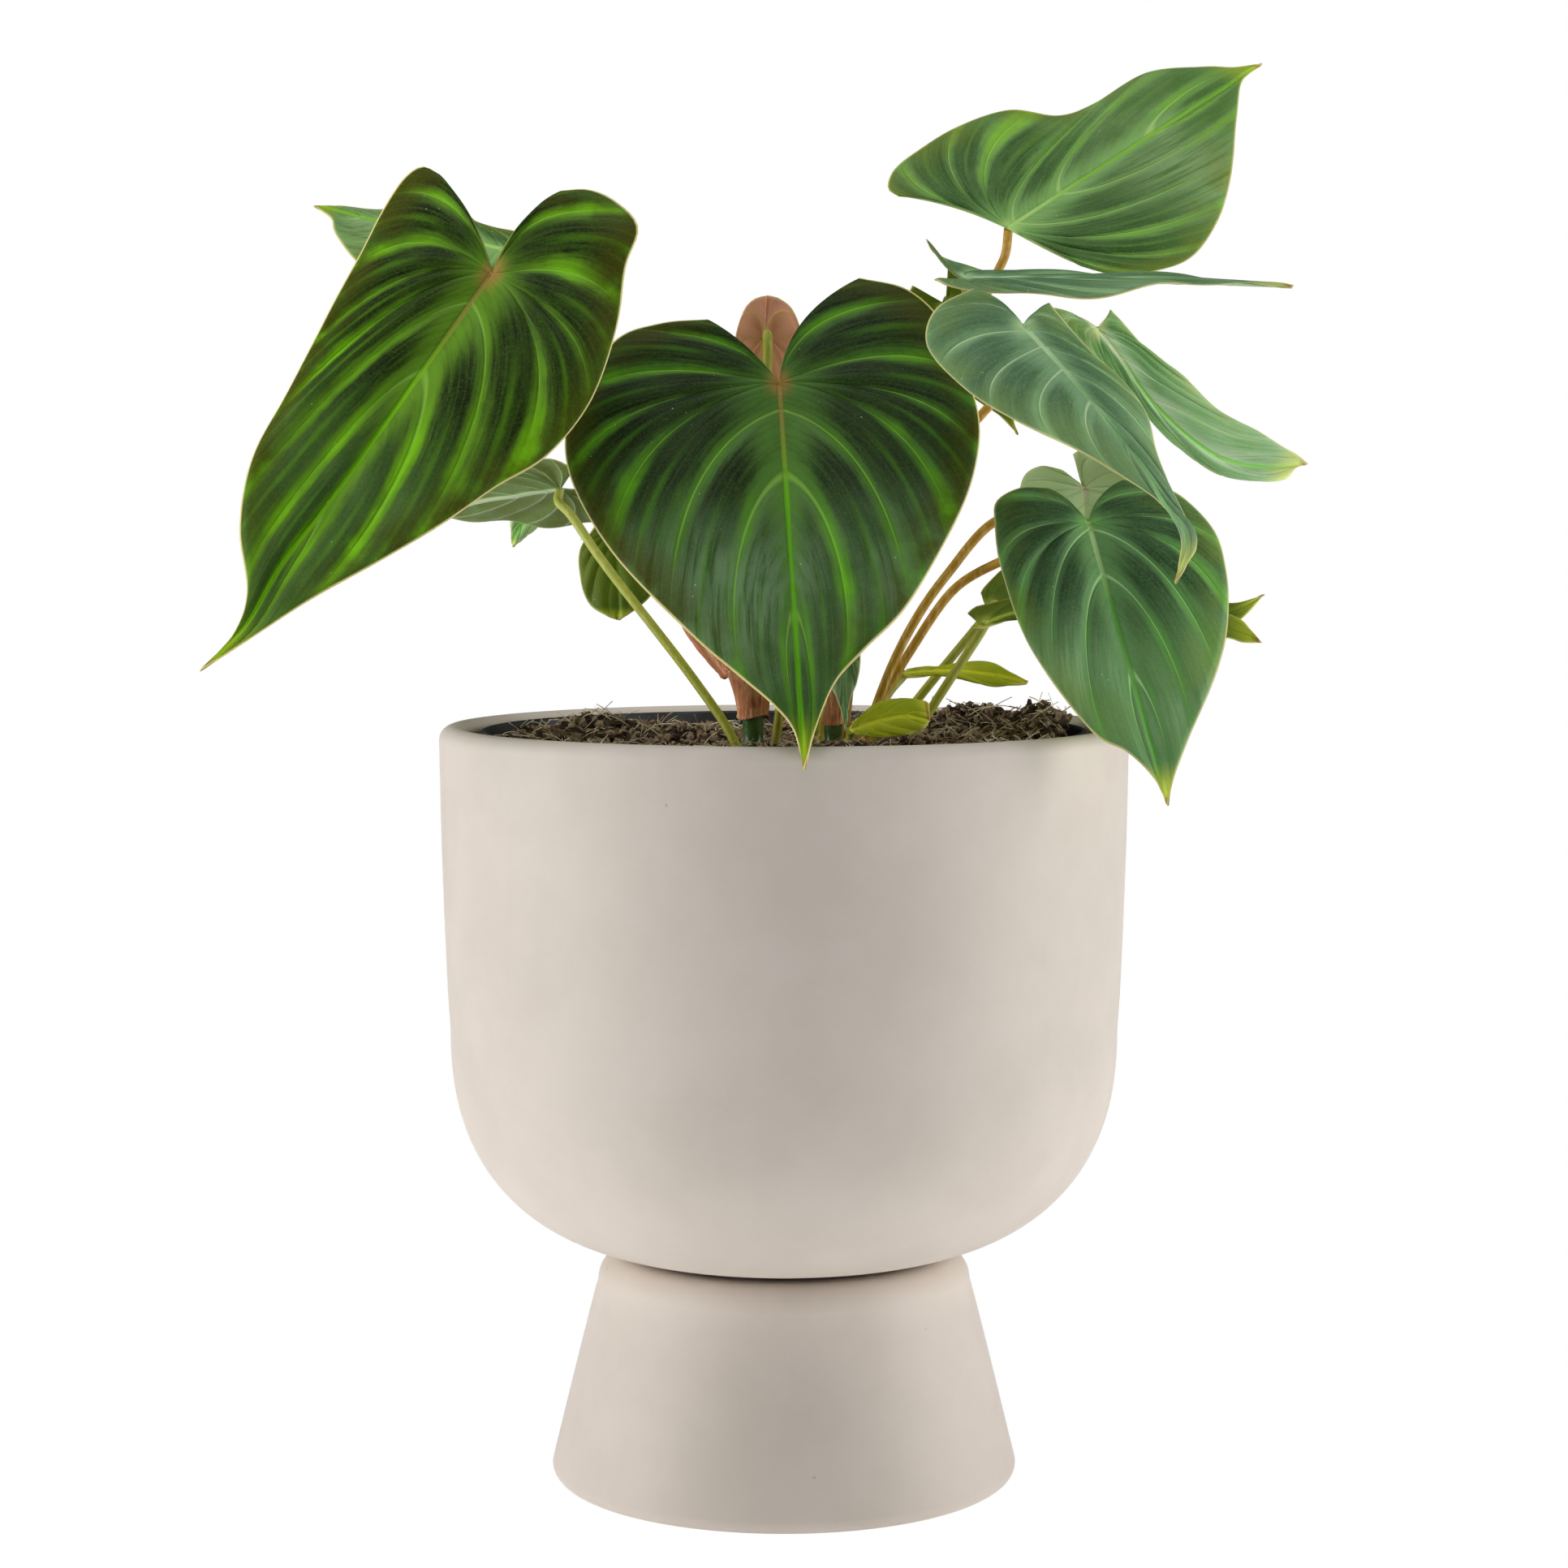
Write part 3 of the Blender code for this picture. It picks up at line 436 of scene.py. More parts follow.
# %% [markdown]
# The nursery pot is thin blow-moulded plastic. Only the inside of its rim shows above the soil: dark
# blue-black, with dust and water marks.

# %% Nursery pot
plastic, shader, coords = new_finish("nursery_plastic", Roughness=0.45)
dust = coords.clouds(90.0, 6.0, 0.7)
marks = coords.clouds(500.0)
join((dust.between(0.45, 0.75) * 0.55).blend(paint(34, 38, 46), paint(96, 96, 94)), shader, "Base Color")
join(dust * 0.5 + 0.3, shader, "Roughness")
bump(marks, shader, 0.0001, 0.4)
rim = arc((65.4, 164.4), 0.6, 180, 0, 6)
nursery_profile = [(0, 62.2), (42.3, 62.2), (63.2, 159), (64.6, 160), (64.8, 164.4), *rim[1:-1],
                   (66, 164.4), (66, 160), (64.6, 159.2), (43.5, 61), (0, 61)]
mesh = turned("black_nursery_pot", nursery_profile, plastic, 128)
put("black_nursery_pot", mesh, "nursery_pot", plastic)

# %% [markdown]
# ## The leaves
#
# Each blade is a heart whose side veins leave the midrib, run out and bend towards the tip. The mesh
# follows the veins. Lines of equal u run as a vein does, and u grows from the tip (0) round the
# margin to the lobe (1). On each of them t runs from the midrib (0) to the margin (1). That makes
# both the quilted relief and the colour bands simple. A vein lies where u times the count of veins,
# with a small shift and a hook near the margin, is a whole number.

# %% The leaves' measures
# All lengths are in millimetres. joint is where the stalk meets the blade, and yaw and tilt turn its
# face. tip, left, right, sinus and rib are points in the blade's own plane, right and down: the tip,
# both margins from tip to lobe, the way into the notch on each side, and the midrib.
# fold raises the halves, crown rounds them down again, arch bends the midrib, lift raises a lobe and
# wave ripples the margin. A frontal blade has this relief towards the camera, and not off its face.
# The stalk starts on a stem, off its axis by seat, or at a root in the soil. It follows its route to
# a knee behind the blade. radius is its thickness at both ends. finish and stalk name the looks.
USUAL = dict(
    yaw=0, frontal=True, rib=[], rib_share=0.5, fold=0.3, crown=3, arch=2, lift=(0, 0), wave=0.2,
    radius=(1.2, 1.0), knee=7, route=[], quilt=0.4, bend=0.45)
HEART = [(0.91, 0.07), (0.80, 0.22), (0.62, 0.55), (0.36, 0.88), (0.08, 1.0), (-0.14, 0.84), (-0.22, 0.50)]
LEAVES = {
    "front": dict(
        joint=(-1, -31, 239), tilt=34, tip=(5, 93),
        left=[(3, 84), (-1, 78), (-8, 71), (-17, 62), (-33, 43), (-42, 26), (-44, 13), (-41, 1), (-34, -11),
              (-25, -15), (-15, -16)],
        right=[(7, 84), (11, 73), (17, 65), (26, 54), (37, 32), (41, 17), (41, 6), (38, -4), (34, -16),
               (27, -24), (17, -27)], sinus=((-6, -10), (1, -17)), crown=14, arch=3, wave=0.7, stem="left",
        seat=(0.0, -1.7), route=[(-8, -12, 196), (-6, -12, 220)], finish="velvet", veins=7, quilt=1.0,
        bend=0.75, stalk="olive"),
    "left": dict(
        joint=(-60, -38, 261), yaw=-8, tilt=24, tip=(-52, 88),
        left=[(-46, 80), (-44, 71), (-47, 57), (-46, 42), (-40, 26), (-29, -3), (-25, -14), (-21, -22),
              (-17, -25), (-13, -23)],
        right=[(-41, 80), (-30, 72), (-17, 64), (-5, 56), (5, 48), (15, 41), (23, 29), (27, 13), (28, -1),
               (30, -10), (25, -16), (19, -19), (13, -19)], sinus=((-4, -14), (4, -14)),
        rib=[(-13, 23), (-26, 46), (-37, 64), (-43.5, 78)], crown=10, arch=4, wave=0.8, stem="left",
        seat=(-1.5, 1.0), route=[(-14, -6, 200), (-27, -10, 229), (-43, -20, 250)], finish="bright_velvet",
        veins=7, quilt=1.0, bend=0.75, stalk="olive"),
    "top": dict(
        joint=(48.8, 5, 273.6), yaw=5, tilt=50, tip=(67.2, -66),
        left=[(61, -58), (57, -42), (51, -16), (46, -2), (39, 10), (31, 15), (21, 17), (14, 14)],
        right=[(60, -64), (53, -64), (39, -61), (25, -48), (16, -43), (5, -45), (-8, -38), (-18, -28),
               (-22.5, -22.5), (-24.5, -18), (-25, -14), (-23, -11.5)], sinus=((7, 8), (-12, -10)),
        fold=0.25, crown=9, arch=5, wave=0.8, radius=(1.2, 1.1), stem="right", seat=(1.25, 0.6),
        route=[(17, -4, 200), (31, 3, 228), (41, 8, 252), (46, 9, 263)], finish="fresh", veins=6, quilt=1.0,
        bend=0.75, stalk="brown"),
    "level": dict(
        joint=(38, -22, 261), tilt=74, tip=(69, 0.7), frontal=False,
        left=[(64, 1.5), (57, 1.6), (50, 2.4), (44.7, 3.4), (35, 8.5), (24, 11.2), (16, 11), (7.8, 9),
              (-3.2, 6.5), (-6.5, 2)],
        right=[(64, -0.6), (57, -1.7), (44.7, -2.6), (32.4, -3), (23.8, -4.6), (12.8, -8), (5, -10.5),
               (-2, -12.5), (-6, -11), (-8, -6)], sinus=((-3, 3), (-3, -3)), rib_share=0.7, fold=0.1,
        arch=4, lift=(0, 8), wave=0.5, radius=(1.15, 1.0), stem="right", seat=(-1.25, 0.6),
        route=[(12, -8, 205), (22, -8, 236), (31, -13, 251)], finish="grey_green", veins=7, quilt=0.5,
        stalk="olive"),
    "right_upper": dict(
        joint=(49, -42, 250), yaw=5, tilt=30, tip=(26, 60),
        left=[(27, 56), (28, 49), (25, 42), (18, 36), (8, 29), (-4, 22), (-13, 15), (-20, 5), (-18, -4),
              (-10, -9)],
        right=[(29, 55), (31, 50), (27, 38), (25, 30), (24, 21), (20, 13), (13, 5), (9, -1), (6, -6)],
        sinus=((-3, -7), (2, -4)), rib=[(8, 11), (14.5, 21), (20.5, 31), (25.4, 41), (29, 49.5)],
        rib_share=0.9, fold=0.25, crown=7, arch=3, wave=0.6, radius=(1.5, 1.1), root=(-2, -22),
        route=[(3, -23, 190), (14, -23, 212), (29, -22, 233), (40, -25, 242)], finish="grey_green", veins=7,
        quilt=0.7, stalk="olive"),
    "right_far": dict(
        joint=(67, -10, 251), yaw=20, tilt=30, tip=(42, 33),
        left=[(39, 34), (35, 37), (26, 37), (19, 35), (12, 29), (7, 22), (2, 13), (-2, 6), (-6, 1),
              (-10.5, -2), (-12, -5.5)],
        right=[(40, 31), (37, 29), (32, 25), (24, 20), (18, 12), (14, 8), (9, 3), (6, -2), (4, -5)],
        sinus=((-4.5, -5), (2, -2)), rib=[(4, 8), (9, 19), (20, 31), (32, 34)], fold=0.4, crown=5, wave=0.5,
        radius=(1.5, 1.1), root=(13, -1), route=[(17, 2, 190), (27, 5, 212), (42, 6, 232), (56, 2, 245)],
        finish="light_green", veins=8, quilt=0.6, stalk="brown"),
    "right_low": dict(
        joint=(63, -36, 210), yaw=12, tilt=28, tip=(8, 64),
        left=[(6, 58), (1, 52), (-6, 47), (-16, 29), (-20, 11), (-20, 0), (-19, -5), (-14, -8), (-8, -8)],
        right=[(10, 58), (15, 48), (24, 31), (27, 21), (28, 11), (27, 2), (21, -6), (15, -9), (9, -10)],
        sinus=((-3, -6), (2, -7)), crown=7, wave=0.6, radius=(1.8, 1.2), root=(15, -15),
        route=[(21, -12, 172), (27, -10, 182), (36, -10, 195), (45, -14, 201), (51, -23, 203)],
        finish="mid_green", veins=6, quilt=0.8, bend=0.75, stalk="brown"),
    "small_pale": dict(
        joint=(64, -15, 217), tilt=35, tip=(0, 21),
        left=[(-4, 18), (-11, 11), (-14, 4), (-13, -3), (-9, -6), (-5, -5)],
        right=[(4, 18), (10, 11), (12, 4), (9, -3), (5, -7), (0, -10), (-2, -9)],
        sinus=((-2, -3), (-1, -4)), wave=0.5, radius=(1.5, 1.0), root=(17, -19),
        route=[(22, -17, 177), (28, -15, 189), (35, -14, 199), (45, -12, 210), (57, -11, 212)],
        finish="pale", veins=6, stalk="brown"),
    "left_back": dict(
        joint=(-59.6, 12, 269), yaw=-10, tilt=40, tip=(-48.4, -15),
        left=[(-43.4, -15), (-32.4, -13.5), (-24, -15.5), (-17, -15.5), (-11, -10), (-5.3, -7.5), (0, -6),
              (5, -3)],
        right=[(-43.5, -11), (-41.4, -6), (-34.4, 3), (-24.4, 12), (-13.4, 17), (-4.4, 17), (4, 13),
               (8, 8)], sinus=((2, -2), (3, 3)), rib_share=0.8, crown=5, arch=3, wave=0.6,
        radius=(1.5, 1.1), root=(-6.7, 12),
        route=[(-8, 13, 182), (-14, 19, 204), (-24, 21, 226), (-44, 19, 243)], finish="fresh", veins=7,
        quilt=0.5, stalk="olive"),
    "left_under": dict(
        joint=(-49, 5, 217), yaw=170, tilt=66, tip=(40, 14), frontal=False, left=19, right=17, fold=0.2,
        crown=4, arch=4, wave=0.6, radius=(1.15, 0.9), root=(-10.2, -25), knee=3,
        route=[(-19.4, -18, 176.8), (-38, -7, 200), (-46, 0, 211)], finish="grey_green", veins=7, quilt=0.5,
        stalk="green"),
    "left_drop": dict(
        joint=(-51.2, 30, 213.6), yaw=-5, tilt=20, tip=(-9.6, 10), frontal=False,
        left=[(-10.1, 8.2), (-10.5, 4.4), (-10.8, 1.9), (-8.8, -1.3)],
        right=[(-6.5, 7.2), (-2.7, 3.8), (0.4, 1.5)], sinus=((-2, -1.5), (0.5, -0.5)),
        rib=[(-4, 1.6), (-7.6, 4.6), (-9.4, 7.6)], rib_share=0.8, fold=0.2, crown=1, arch=1,
        radius=(1.0, 0.7), root=(-6.8, 20), knee=4, route=[(-9, 22, 182), (-14, 31, 200), (-32, 32, 213)],
        finish="light_green", veins=5, quilt=0.3, stalk="green"),
    "dark_small": dict(
        joint=(-37, 12, 208), yaw=-5, tilt=12, tip=(1, 20), frontal=False,
        left=[(-2, 19), (-6, 16), (-8, 10), (-8, 4), (-4, -2)],
        right=[(4, 18), (8, 14), (8, 8), (7, 2), (4, -2)], sinus=((-1, -1), (1, -1)), fold=0.2, wave=0.3,
        radius=(1.2, 0.9), root=(-6.6, 3), knee=3, route=[(-7.5, 5, 181), (-10, 12, 196), (-24, 17, 210)],
        finish="olive", veins=5, stalk="green"),
    "red_young": dict(
        joint=(-4, 8, 250), yaw=184, tilt=14, tip=(0, 44), frontal=False,
        left=[(-4, 36), (-7, 25), (-8, 12), (-8, 1), (-6, -6), (-3, -8.6), (-0.05, -9.4)],
        right=[(4, 36), (6, 25), (7, 12), (7, 1), (5, -6), (2.6, -8.6), (0.05, -9.4)],
        sinus=((-0.05, -4), (0.05, -4)), crown=5, wave=0.4, radius=(1.3, 1.0), stem="left", seat=(1.5, 1.0),
        route=[(-5, -7, 196), (-4, -5, 222)], finish="young", veins=6, stalk="olive"),
    "olive_back": dict(
        joint=(36, 21, 258), tilt=6, tip=(16, 29), frontal=False, left=9, right=9, fold=0.2, wave=0.4,
        radius=(1.3, 0.9), root=(8, 8), route=[(13, 16, 195), (28, 26, 232)], finish="olive", veins=5,
        stalk="olive"),
    "low_right_a": dict(
        joint=(45.1, 10, 191), yaw=4, tilt=45, tip=(62.3, -3.9),
        left=[(56.1, 3.5), (53.1, 5.3), (46.5, 7), (35.7, 7.5), (23.1, 6.7), (12.5, 5.2), (5.5, 3.2),
              (1.7, 1.2)],
        right=[(56.6, -1.5), (53.8, -1.2), (49.4, -1.5), (41, -6.6), (30.6, -11.4), (19.9, -14.6),
               (10.8, -15.2), (4.7, -12.2), (0, -6.7), (-1.3, -4.4)], sinus=((0.8, 0.3), (-0.8, -1.5)),
        rib=[(15, -3), (30, -2.5), (48, 1.5), (55, 1)], rib_share=0.8, fold=0.1, crown=2, arch=1, wave=0.4,
        radius=(0.65, 0.5), root=(23.9, 9), knee=2, finish="olive", veins=6, stalk="green"),
    "low_right_b": dict(
        joint=(42.8, -4, 187.5), yaw=4, tilt=50, tip=(60.7, 5.7),
        left=[(56.5, 5.5), (53.4, 4.1), (44.2, 3.1), (33.8, 1.2), (21.5, -0.7), (12.8, -2), (7.4, -2),
              (3, -0.4), (-0.4, 1.2), (-2.4, 0.4)],
        right=[(58.7, 1.3), (57.2, -1.7), (52.5, -4.8), (43.9, -7.5), (31.6, -10), (17.3, -10.8), (7.9, -9),
               (2, -7), (-0.8, -6), (-2.6, -4)], sinus=((-0.9, -0.8), (-0.8, -2)),
        rib=[(8, -4), (22, -5.2), (38, -3.2), (52, 1)], rib_share=0.85, fold=0.1, crown=2, arch=1, wave=0.4,
        radius=(0.6, 0.5), root=(28.4, -6.5), knee=2, finish="olive", veins=6, stalk="green"),
    "narrow": dict(
        joint=(25.9, 1.5, 176.9), tilt=50, tip=(27.4, 2.6),
        left=[(26.8, 3.5), (23.3, 3.9), (20.1, 4.3), (16, 3.1), (12.5, 1.5), (8.8, 0.5), (4.7, 1),
              (1, 1.5)],
        right=[(25.4, 1), (23.4, -0.5), (20.4, -3.1), (16.8, -3.9), (12.1, -3.1), (8.7, -2.1), (4.8, -2.3),
               (1.1, -1.3)], sinus=((0.5, 0.7), (0.5, -0.6)),
        rib=[(4.7, -0.6), (9, -0.8), (13, -0.7), (17, 0), (20.4, 0.7), (24, 1.8)], rib_share=1.0, fold=0.15,
        crown=1, radius=(0.9, 0.7), root=(19.5, -4), knee=1, route=[(22, -2, 171.5)], finish="yellow",
        veins=5, quilt=0.2, stalk="green"),
    "yellow_green": dict(
        joint=(14, -29, 166.6), tilt=40, tip=(16.8, -2.3),
        left=[(15.4, -0.4), (11.9, 1.3), (8.3, 1.9), (4.6, 1.9), (1.7, 1.3)],
        right=[(16.7, -4.9), (16.2, -7.2), (12.4, -8.1), (8, -7.9), (4.9, -6.4), (2.1, -3.6), (0.4, -1.7)],
        sinus=((0.8, 0.6), (0.2, -0.8)), rib=[(5, -2), (11, -3.4)], rib_share=0.9, fold=0.25, crown=1,
        arch=1, radius=(1.0, 0.8), root=(12.5, -26), knee=3, finish="yellow", veins=5, quilt=0.3,
        stalk="green"),
    "grey_small": dict(
        joint=(12.5, -32, 184.4), yaw=5, tilt=15, tip=(-0.1, 18.3),
        left=[(-0.7, 15), (-1.5, 11.9), (-2.6, 9.5), (-3.7, 7.4), (-4, 4.3), (-3.4, 0.9)],
        right=[(0.3, 16.4), (0.6, 13.5), (1.2, 11.1), (2.5, 8), (3.3, 4), (3.2, 0.5), (1.7, -1.2)],
        sinus=((-1.5, -0.3), (0.8, -0.6)), crown=1, arch=1, radius=(1.0, 0.8), root=(5.5, -26),
        route=[(8.5, -26, 174)], finish="grey_green", veins=5, quilt=0.2, stalk="green"),
}
LEAVES = {name: {**USUAL, **leaf} for name, leaf in LEAVES.items()}
BRACT = dict(
    USUAL,
    joint=(-12.5, -10.2, 176.6), yaw=-15, tilt=8, tip=(-12.4, -17), frontal=False,
    left=[(-9.3, -15.6), (-6.2, -11.8), (-2.6, -6.8), (0, -3.4), (1.2, -1.2)],
    right=[(-12.3, -15.6), (-11.4, -13.1), (-9.9, -10.2), (-7, -6.4), (-3.9, -3), (-1.9, -1), (-1, 0.2)],
    sinus=((0.6, 0), (-0.3, 0.4)), rib=[(-2.7, -3.4), (-6, -7.8), (-9.4, -12.5)], rib_share=0.9, crown=0.5,
    arch=1, wave=0, finish="bract", veins=5, quilt=0.1)
STEMS = {
    "left": dict(place=(-6.6, -12), radius=2.3, sheath_top=178.5, sheath_bottom=168.2, crown=3.2),
    "right": dict(place=(10.6, -12), radius=2.0, sheath_top=176.5, sheath_bottom=166.9, crown=2.6),
}
STEM_TOP = 175.0
print(len(LEAVES), "leaves,", len(STEMS), "stems")


# %% Curves through points
def smooth_line(points, each):
    """A Catmull-Rom curve through the points, with a number of steps between neighbours."""
    points = [np.array(p, float) for p in points]
    ends = [2 * points[0] - points[1], *points, 2 * points[-1] - points[-2]]
    found = []
    for a, b, c, d in zip(ends, ends[1:], ends[2:], ends[3:]):
        for i in range(each):
            t = i / each
            found.append(0.5 * (2 * b + (c - a) * t + (2 * a - 5 * b + 4 * c - d) * t ** 2
                                + (3 * b - a - 3 * c + d) * t ** 3))
    return np.array([*found, points[-1]])


def along(line, share):
    """The point at a share of a line's length."""
    steps = np.concatenate([[0], np.cumsum(np.linalg.norm(np.diff(line, axis=0), axis=1))])
    return np.array([np.interp(share * steps[-1], steps, line[:, k]) for k in range(line.shape[1])])


# %% The blade's shape
# Where on the margin a vein ends, as a share of the part that the midrib serves, and where on the
# midrib it starts
VEIN_PLACES = [0, 0.08, 0.16, 0.30, 0.52, 0.76, 0.92, 1.0]
VEIN_STARTS = [1, 0.86, 0.72, 0.48, 0.24, 0.09, 0.03, 0]
VEIN_SHIFT, VEIN_HOOK = 0.2, 0.55
QUILT_HEIGHT, GUTTER_DEPTH = 1.3, 0.45


class Blade:
    """The middle surface of a blade, row by row. A row is one vein: u is its place on the margin."""

    def __init__(self, leaf):
        yaw, tilt = math.radians(leaf["yaw"]), math.radians(leaf["tilt"])
        self.joint = np.array(leaf["joint"], float)
        self.across = np.array([math.cos(yaw), math.sin(yaw), 0])
        ahead, up = np.array([math.sin(yaw), -math.cos(yaw), 0]), np.array([0, 0, 1.0])
        self.down = ahead * math.sin(tilt) - up * math.cos(tilt)
        self.face = ahead * math.cos(tilt) + up * math.sin(tilt)
        self.relief = np.array([0, -1.0, 0]) if leaf["frontal"] else self.face
        self.tip = np.array(leaf["tip"], float)
        self.length = np.linalg.norm(self.tip)
        self.rib = self.tip / self.length
        self.side = np.array([-self.rib[1], self.rib[0]])
        # The midrib as its distance to the side at each height along the line to the tip
        midrib = smooth_line([(0, 0), *leaf["rib"], self.tip], 8)
        self.heights, self.bends = midrib @ self.rib, midrib @ self.side
        self.leaf = leaf
        self.margins = {-1: self.margin(leaf["left"], -1), 1: self.margin(leaf["right"], 1)}
        self.widths = {s: self.out(m).max() for s, m in self.margins.items()}

    def margin(self, outline, hand):
        """The margin from tip to lobe, through its points or as a plain heart of a given half width."""
        if isinstance(outline, (int, float)):
            wide = -hand * outline
            outline = [self.rib * self.length * a + self.side * wide * b for a, b in HEART]
        return smooth_line([self.tip, *outline], 10)

    def midrib(self, height):
        """How far the midrib bends to the side at a height."""
        return np.interp(height, self.heights, self.bends)

    def out(self, points):
        """How far the points are from the midrib."""
        return np.abs(points @ self.side - self.midrib(points @ self.rib))

    def row(self, u, hand, t):
        """Points of one vein at the shares t of its way out, and each point's facts for the finish."""
        leaf = self.leaf
        edge = along(self.margins[hand], u)
        top = edge @ self.rib
        start = self.length * np.interp(u / leaf["rib_share"], VEIN_PLACES, VEIN_STARTS)
        height = start + (top - start) * ((1 - leaf["bend"]) * t + leaf["bend"] * t * t)
        aside = self.midrib(height) + t * (edge @ self.side - self.midrib(top))
        back = max(0.0, (u - 0.72) / 0.28) ** 1.5
        notch = np.array(leaf["sinus"][(hand + 1) // 2], float) if "sinus" in leaf else edge * 0.45
        flat = (1 - back) * (height[:, None] * self.rib + aside[:, None] * self.side)
        flat += back * ((2 * t * (1 - t))[:, None] * notch + (t * t)[:, None] * edge)
        out, share = self.out(flat), flat @ self.rib / self.length
        wide = out / self.widths[hand]
        rise = leaf["fold"] * out - leaf["crown"] * wide ** 2 + leaf["arch"] * (0.09 - (share - 0.3) ** 2)
        rise += leaf["lift"][(hand + 1) // 2] * (max(0.0, (u - 0.75) / 0.25) * t) ** 2
        rise += leaf["wave"] * t * t * math.sin(math.pi * (7 * u + 0.3 * hand))
        # Between two veins the blade swells, and it is drawn in along each vein
        vein = u * leaf["veins"] + VEIN_SHIFT + VEIN_HOOK * t ** 3
        swell = np.abs(np.sin(math.pi * vein)) ** 0.8
        fade = np.clip(t / 0.3, 0, 1) * np.clip((1 - t) / 0.12, 0, 1) ** 0.7 * min(1, u / 0.12)
        rise += leaf["quilt"] * QUILT_HEIGHT * (swell - 0.5) * fade
        # A gutter along the midrib
        gutter = np.exp(-(out / (0.028 * self.length + 0.3)) ** 2) * (share > 0) * min(1, u / 0.1)
        rise -= GUTTER_DEPTH * leaf["quilt"] * gutter
        place = self.joint + flat[:, :1] * self.across + flat[:, 1:] * self.down
        place = place + rise[:, None] * self.relief
        rim = (1 - t) * np.linalg.norm(edge - start * self.rib)
        return place, dict(vein=vein, out=t, share=share, rib=out + 12 * np.clip(-share, 0, 1), rim=rim)


# %% The blade's mesh
def grid_faces(rows, columns, first=0, closed=False):
    """Faces on points that are numbered row by row from first. A closed grid joins its two sides."""
    corners = ((0, 0), (1, 0), (1, 1), (0, 1))
    return [tuple(first + (row + r) * columns + (column + c) % columns for r, c in corners)
            for row in range(rows - 1) for column in range(columns if closed else columns - 1)]


def middle_normals(points, faces):
    """The normals of an open sheet at its points."""
    sheet = bpy.data.meshes.new("sheet")
    sheet.from_pydata(points * MM, [], faces)
    normals = np.zeros(len(points) * 3)
    sheet.vertices.foreach_get("normal", normals)
    bpy.data.meshes.remove(sheet)
    return normals.reshape(-1, 3)


def blade_mesh(name, leaf, rows, columns):
    """A closed shell round the middle surface: 0.6 mm thick at the midrib and thinner at the margin.
    It carries its facts as attributes: vein, out, share, rib, rim, and under, which is 1 below."""
    blade = Blade(leaf)
    t = np.linspace(0, 1, columns + 1) ** 0.9
    halves = [blade.row(0.0, 1, np.array([1.0]))]
    for i in range(1, rows + 1):
        u = (i / rows) ** 1.2
        halves += [blade.row(u, -1, t[::-1]), blade.row(u, 1, t[1:])]
    points = np.concatenate([half[0] for half in halves])
    values = {key: np.concatenate([half[1][key] for half in halves]) for key in halves[0][1]}
    # A slow, uneven waviness, as no leaf is perfectly smooth
    for p in points:
        p += blade.relief * 0.6 * leaf["quilt"] * noise.noise(Vector(p * 0.06))
    wide, count = 2 * columns + 1, len(points)
    faces = [(0, c, c + 1) for c in range(1, wide)] + grid_faces(rows, wide, first=1)
    normals = middle_normals(points, faces)
    if normals.mean(0) @ (blade.relief if leaf["frontal"] else blade.face) < 0:
        normals = -normals
        faces = [face[::-1] for face in faces]
    half = (0.30 - 0.16 * values["out"] ** 6)[:, None]
    shell = np.concatenate([points + normals * half, points - normals * half]) * MM
    # The two sheets meet along the margin: up the left side, across the lobes and down the right side
    first_of_last = 1 + (rows - 1) * wide
    across = range(first_of_last + 1, first_of_last + wide - 1)
    loop = [0, *range(1, first_of_last + 1, wide), *across, *range(first_of_last + wide - 1, 0, -wide)]
    rims = [(a, a + count, b + count, b) for a, b in zip(loop, loop[1:] + loop[:1])]
    backs = [tuple(i + count for i in face[::-1]) for face in faces]
    mesh = bpy.data.meshes.new(name)
    mesh.from_pydata(shell, [], [*faces, *backs, *rims])
    sides = {key: (value, value) for key, value in values.items()}
    sides["under"] = (np.zeros(count), np.ones(count))
    for key, (above, below) in sides.items():
        layer = mesh.attributes.new(key, "FLOAT", "POINT")
        layer.data.foreach_set("value", np.concatenate([above, below]))
    return outward(mesh)
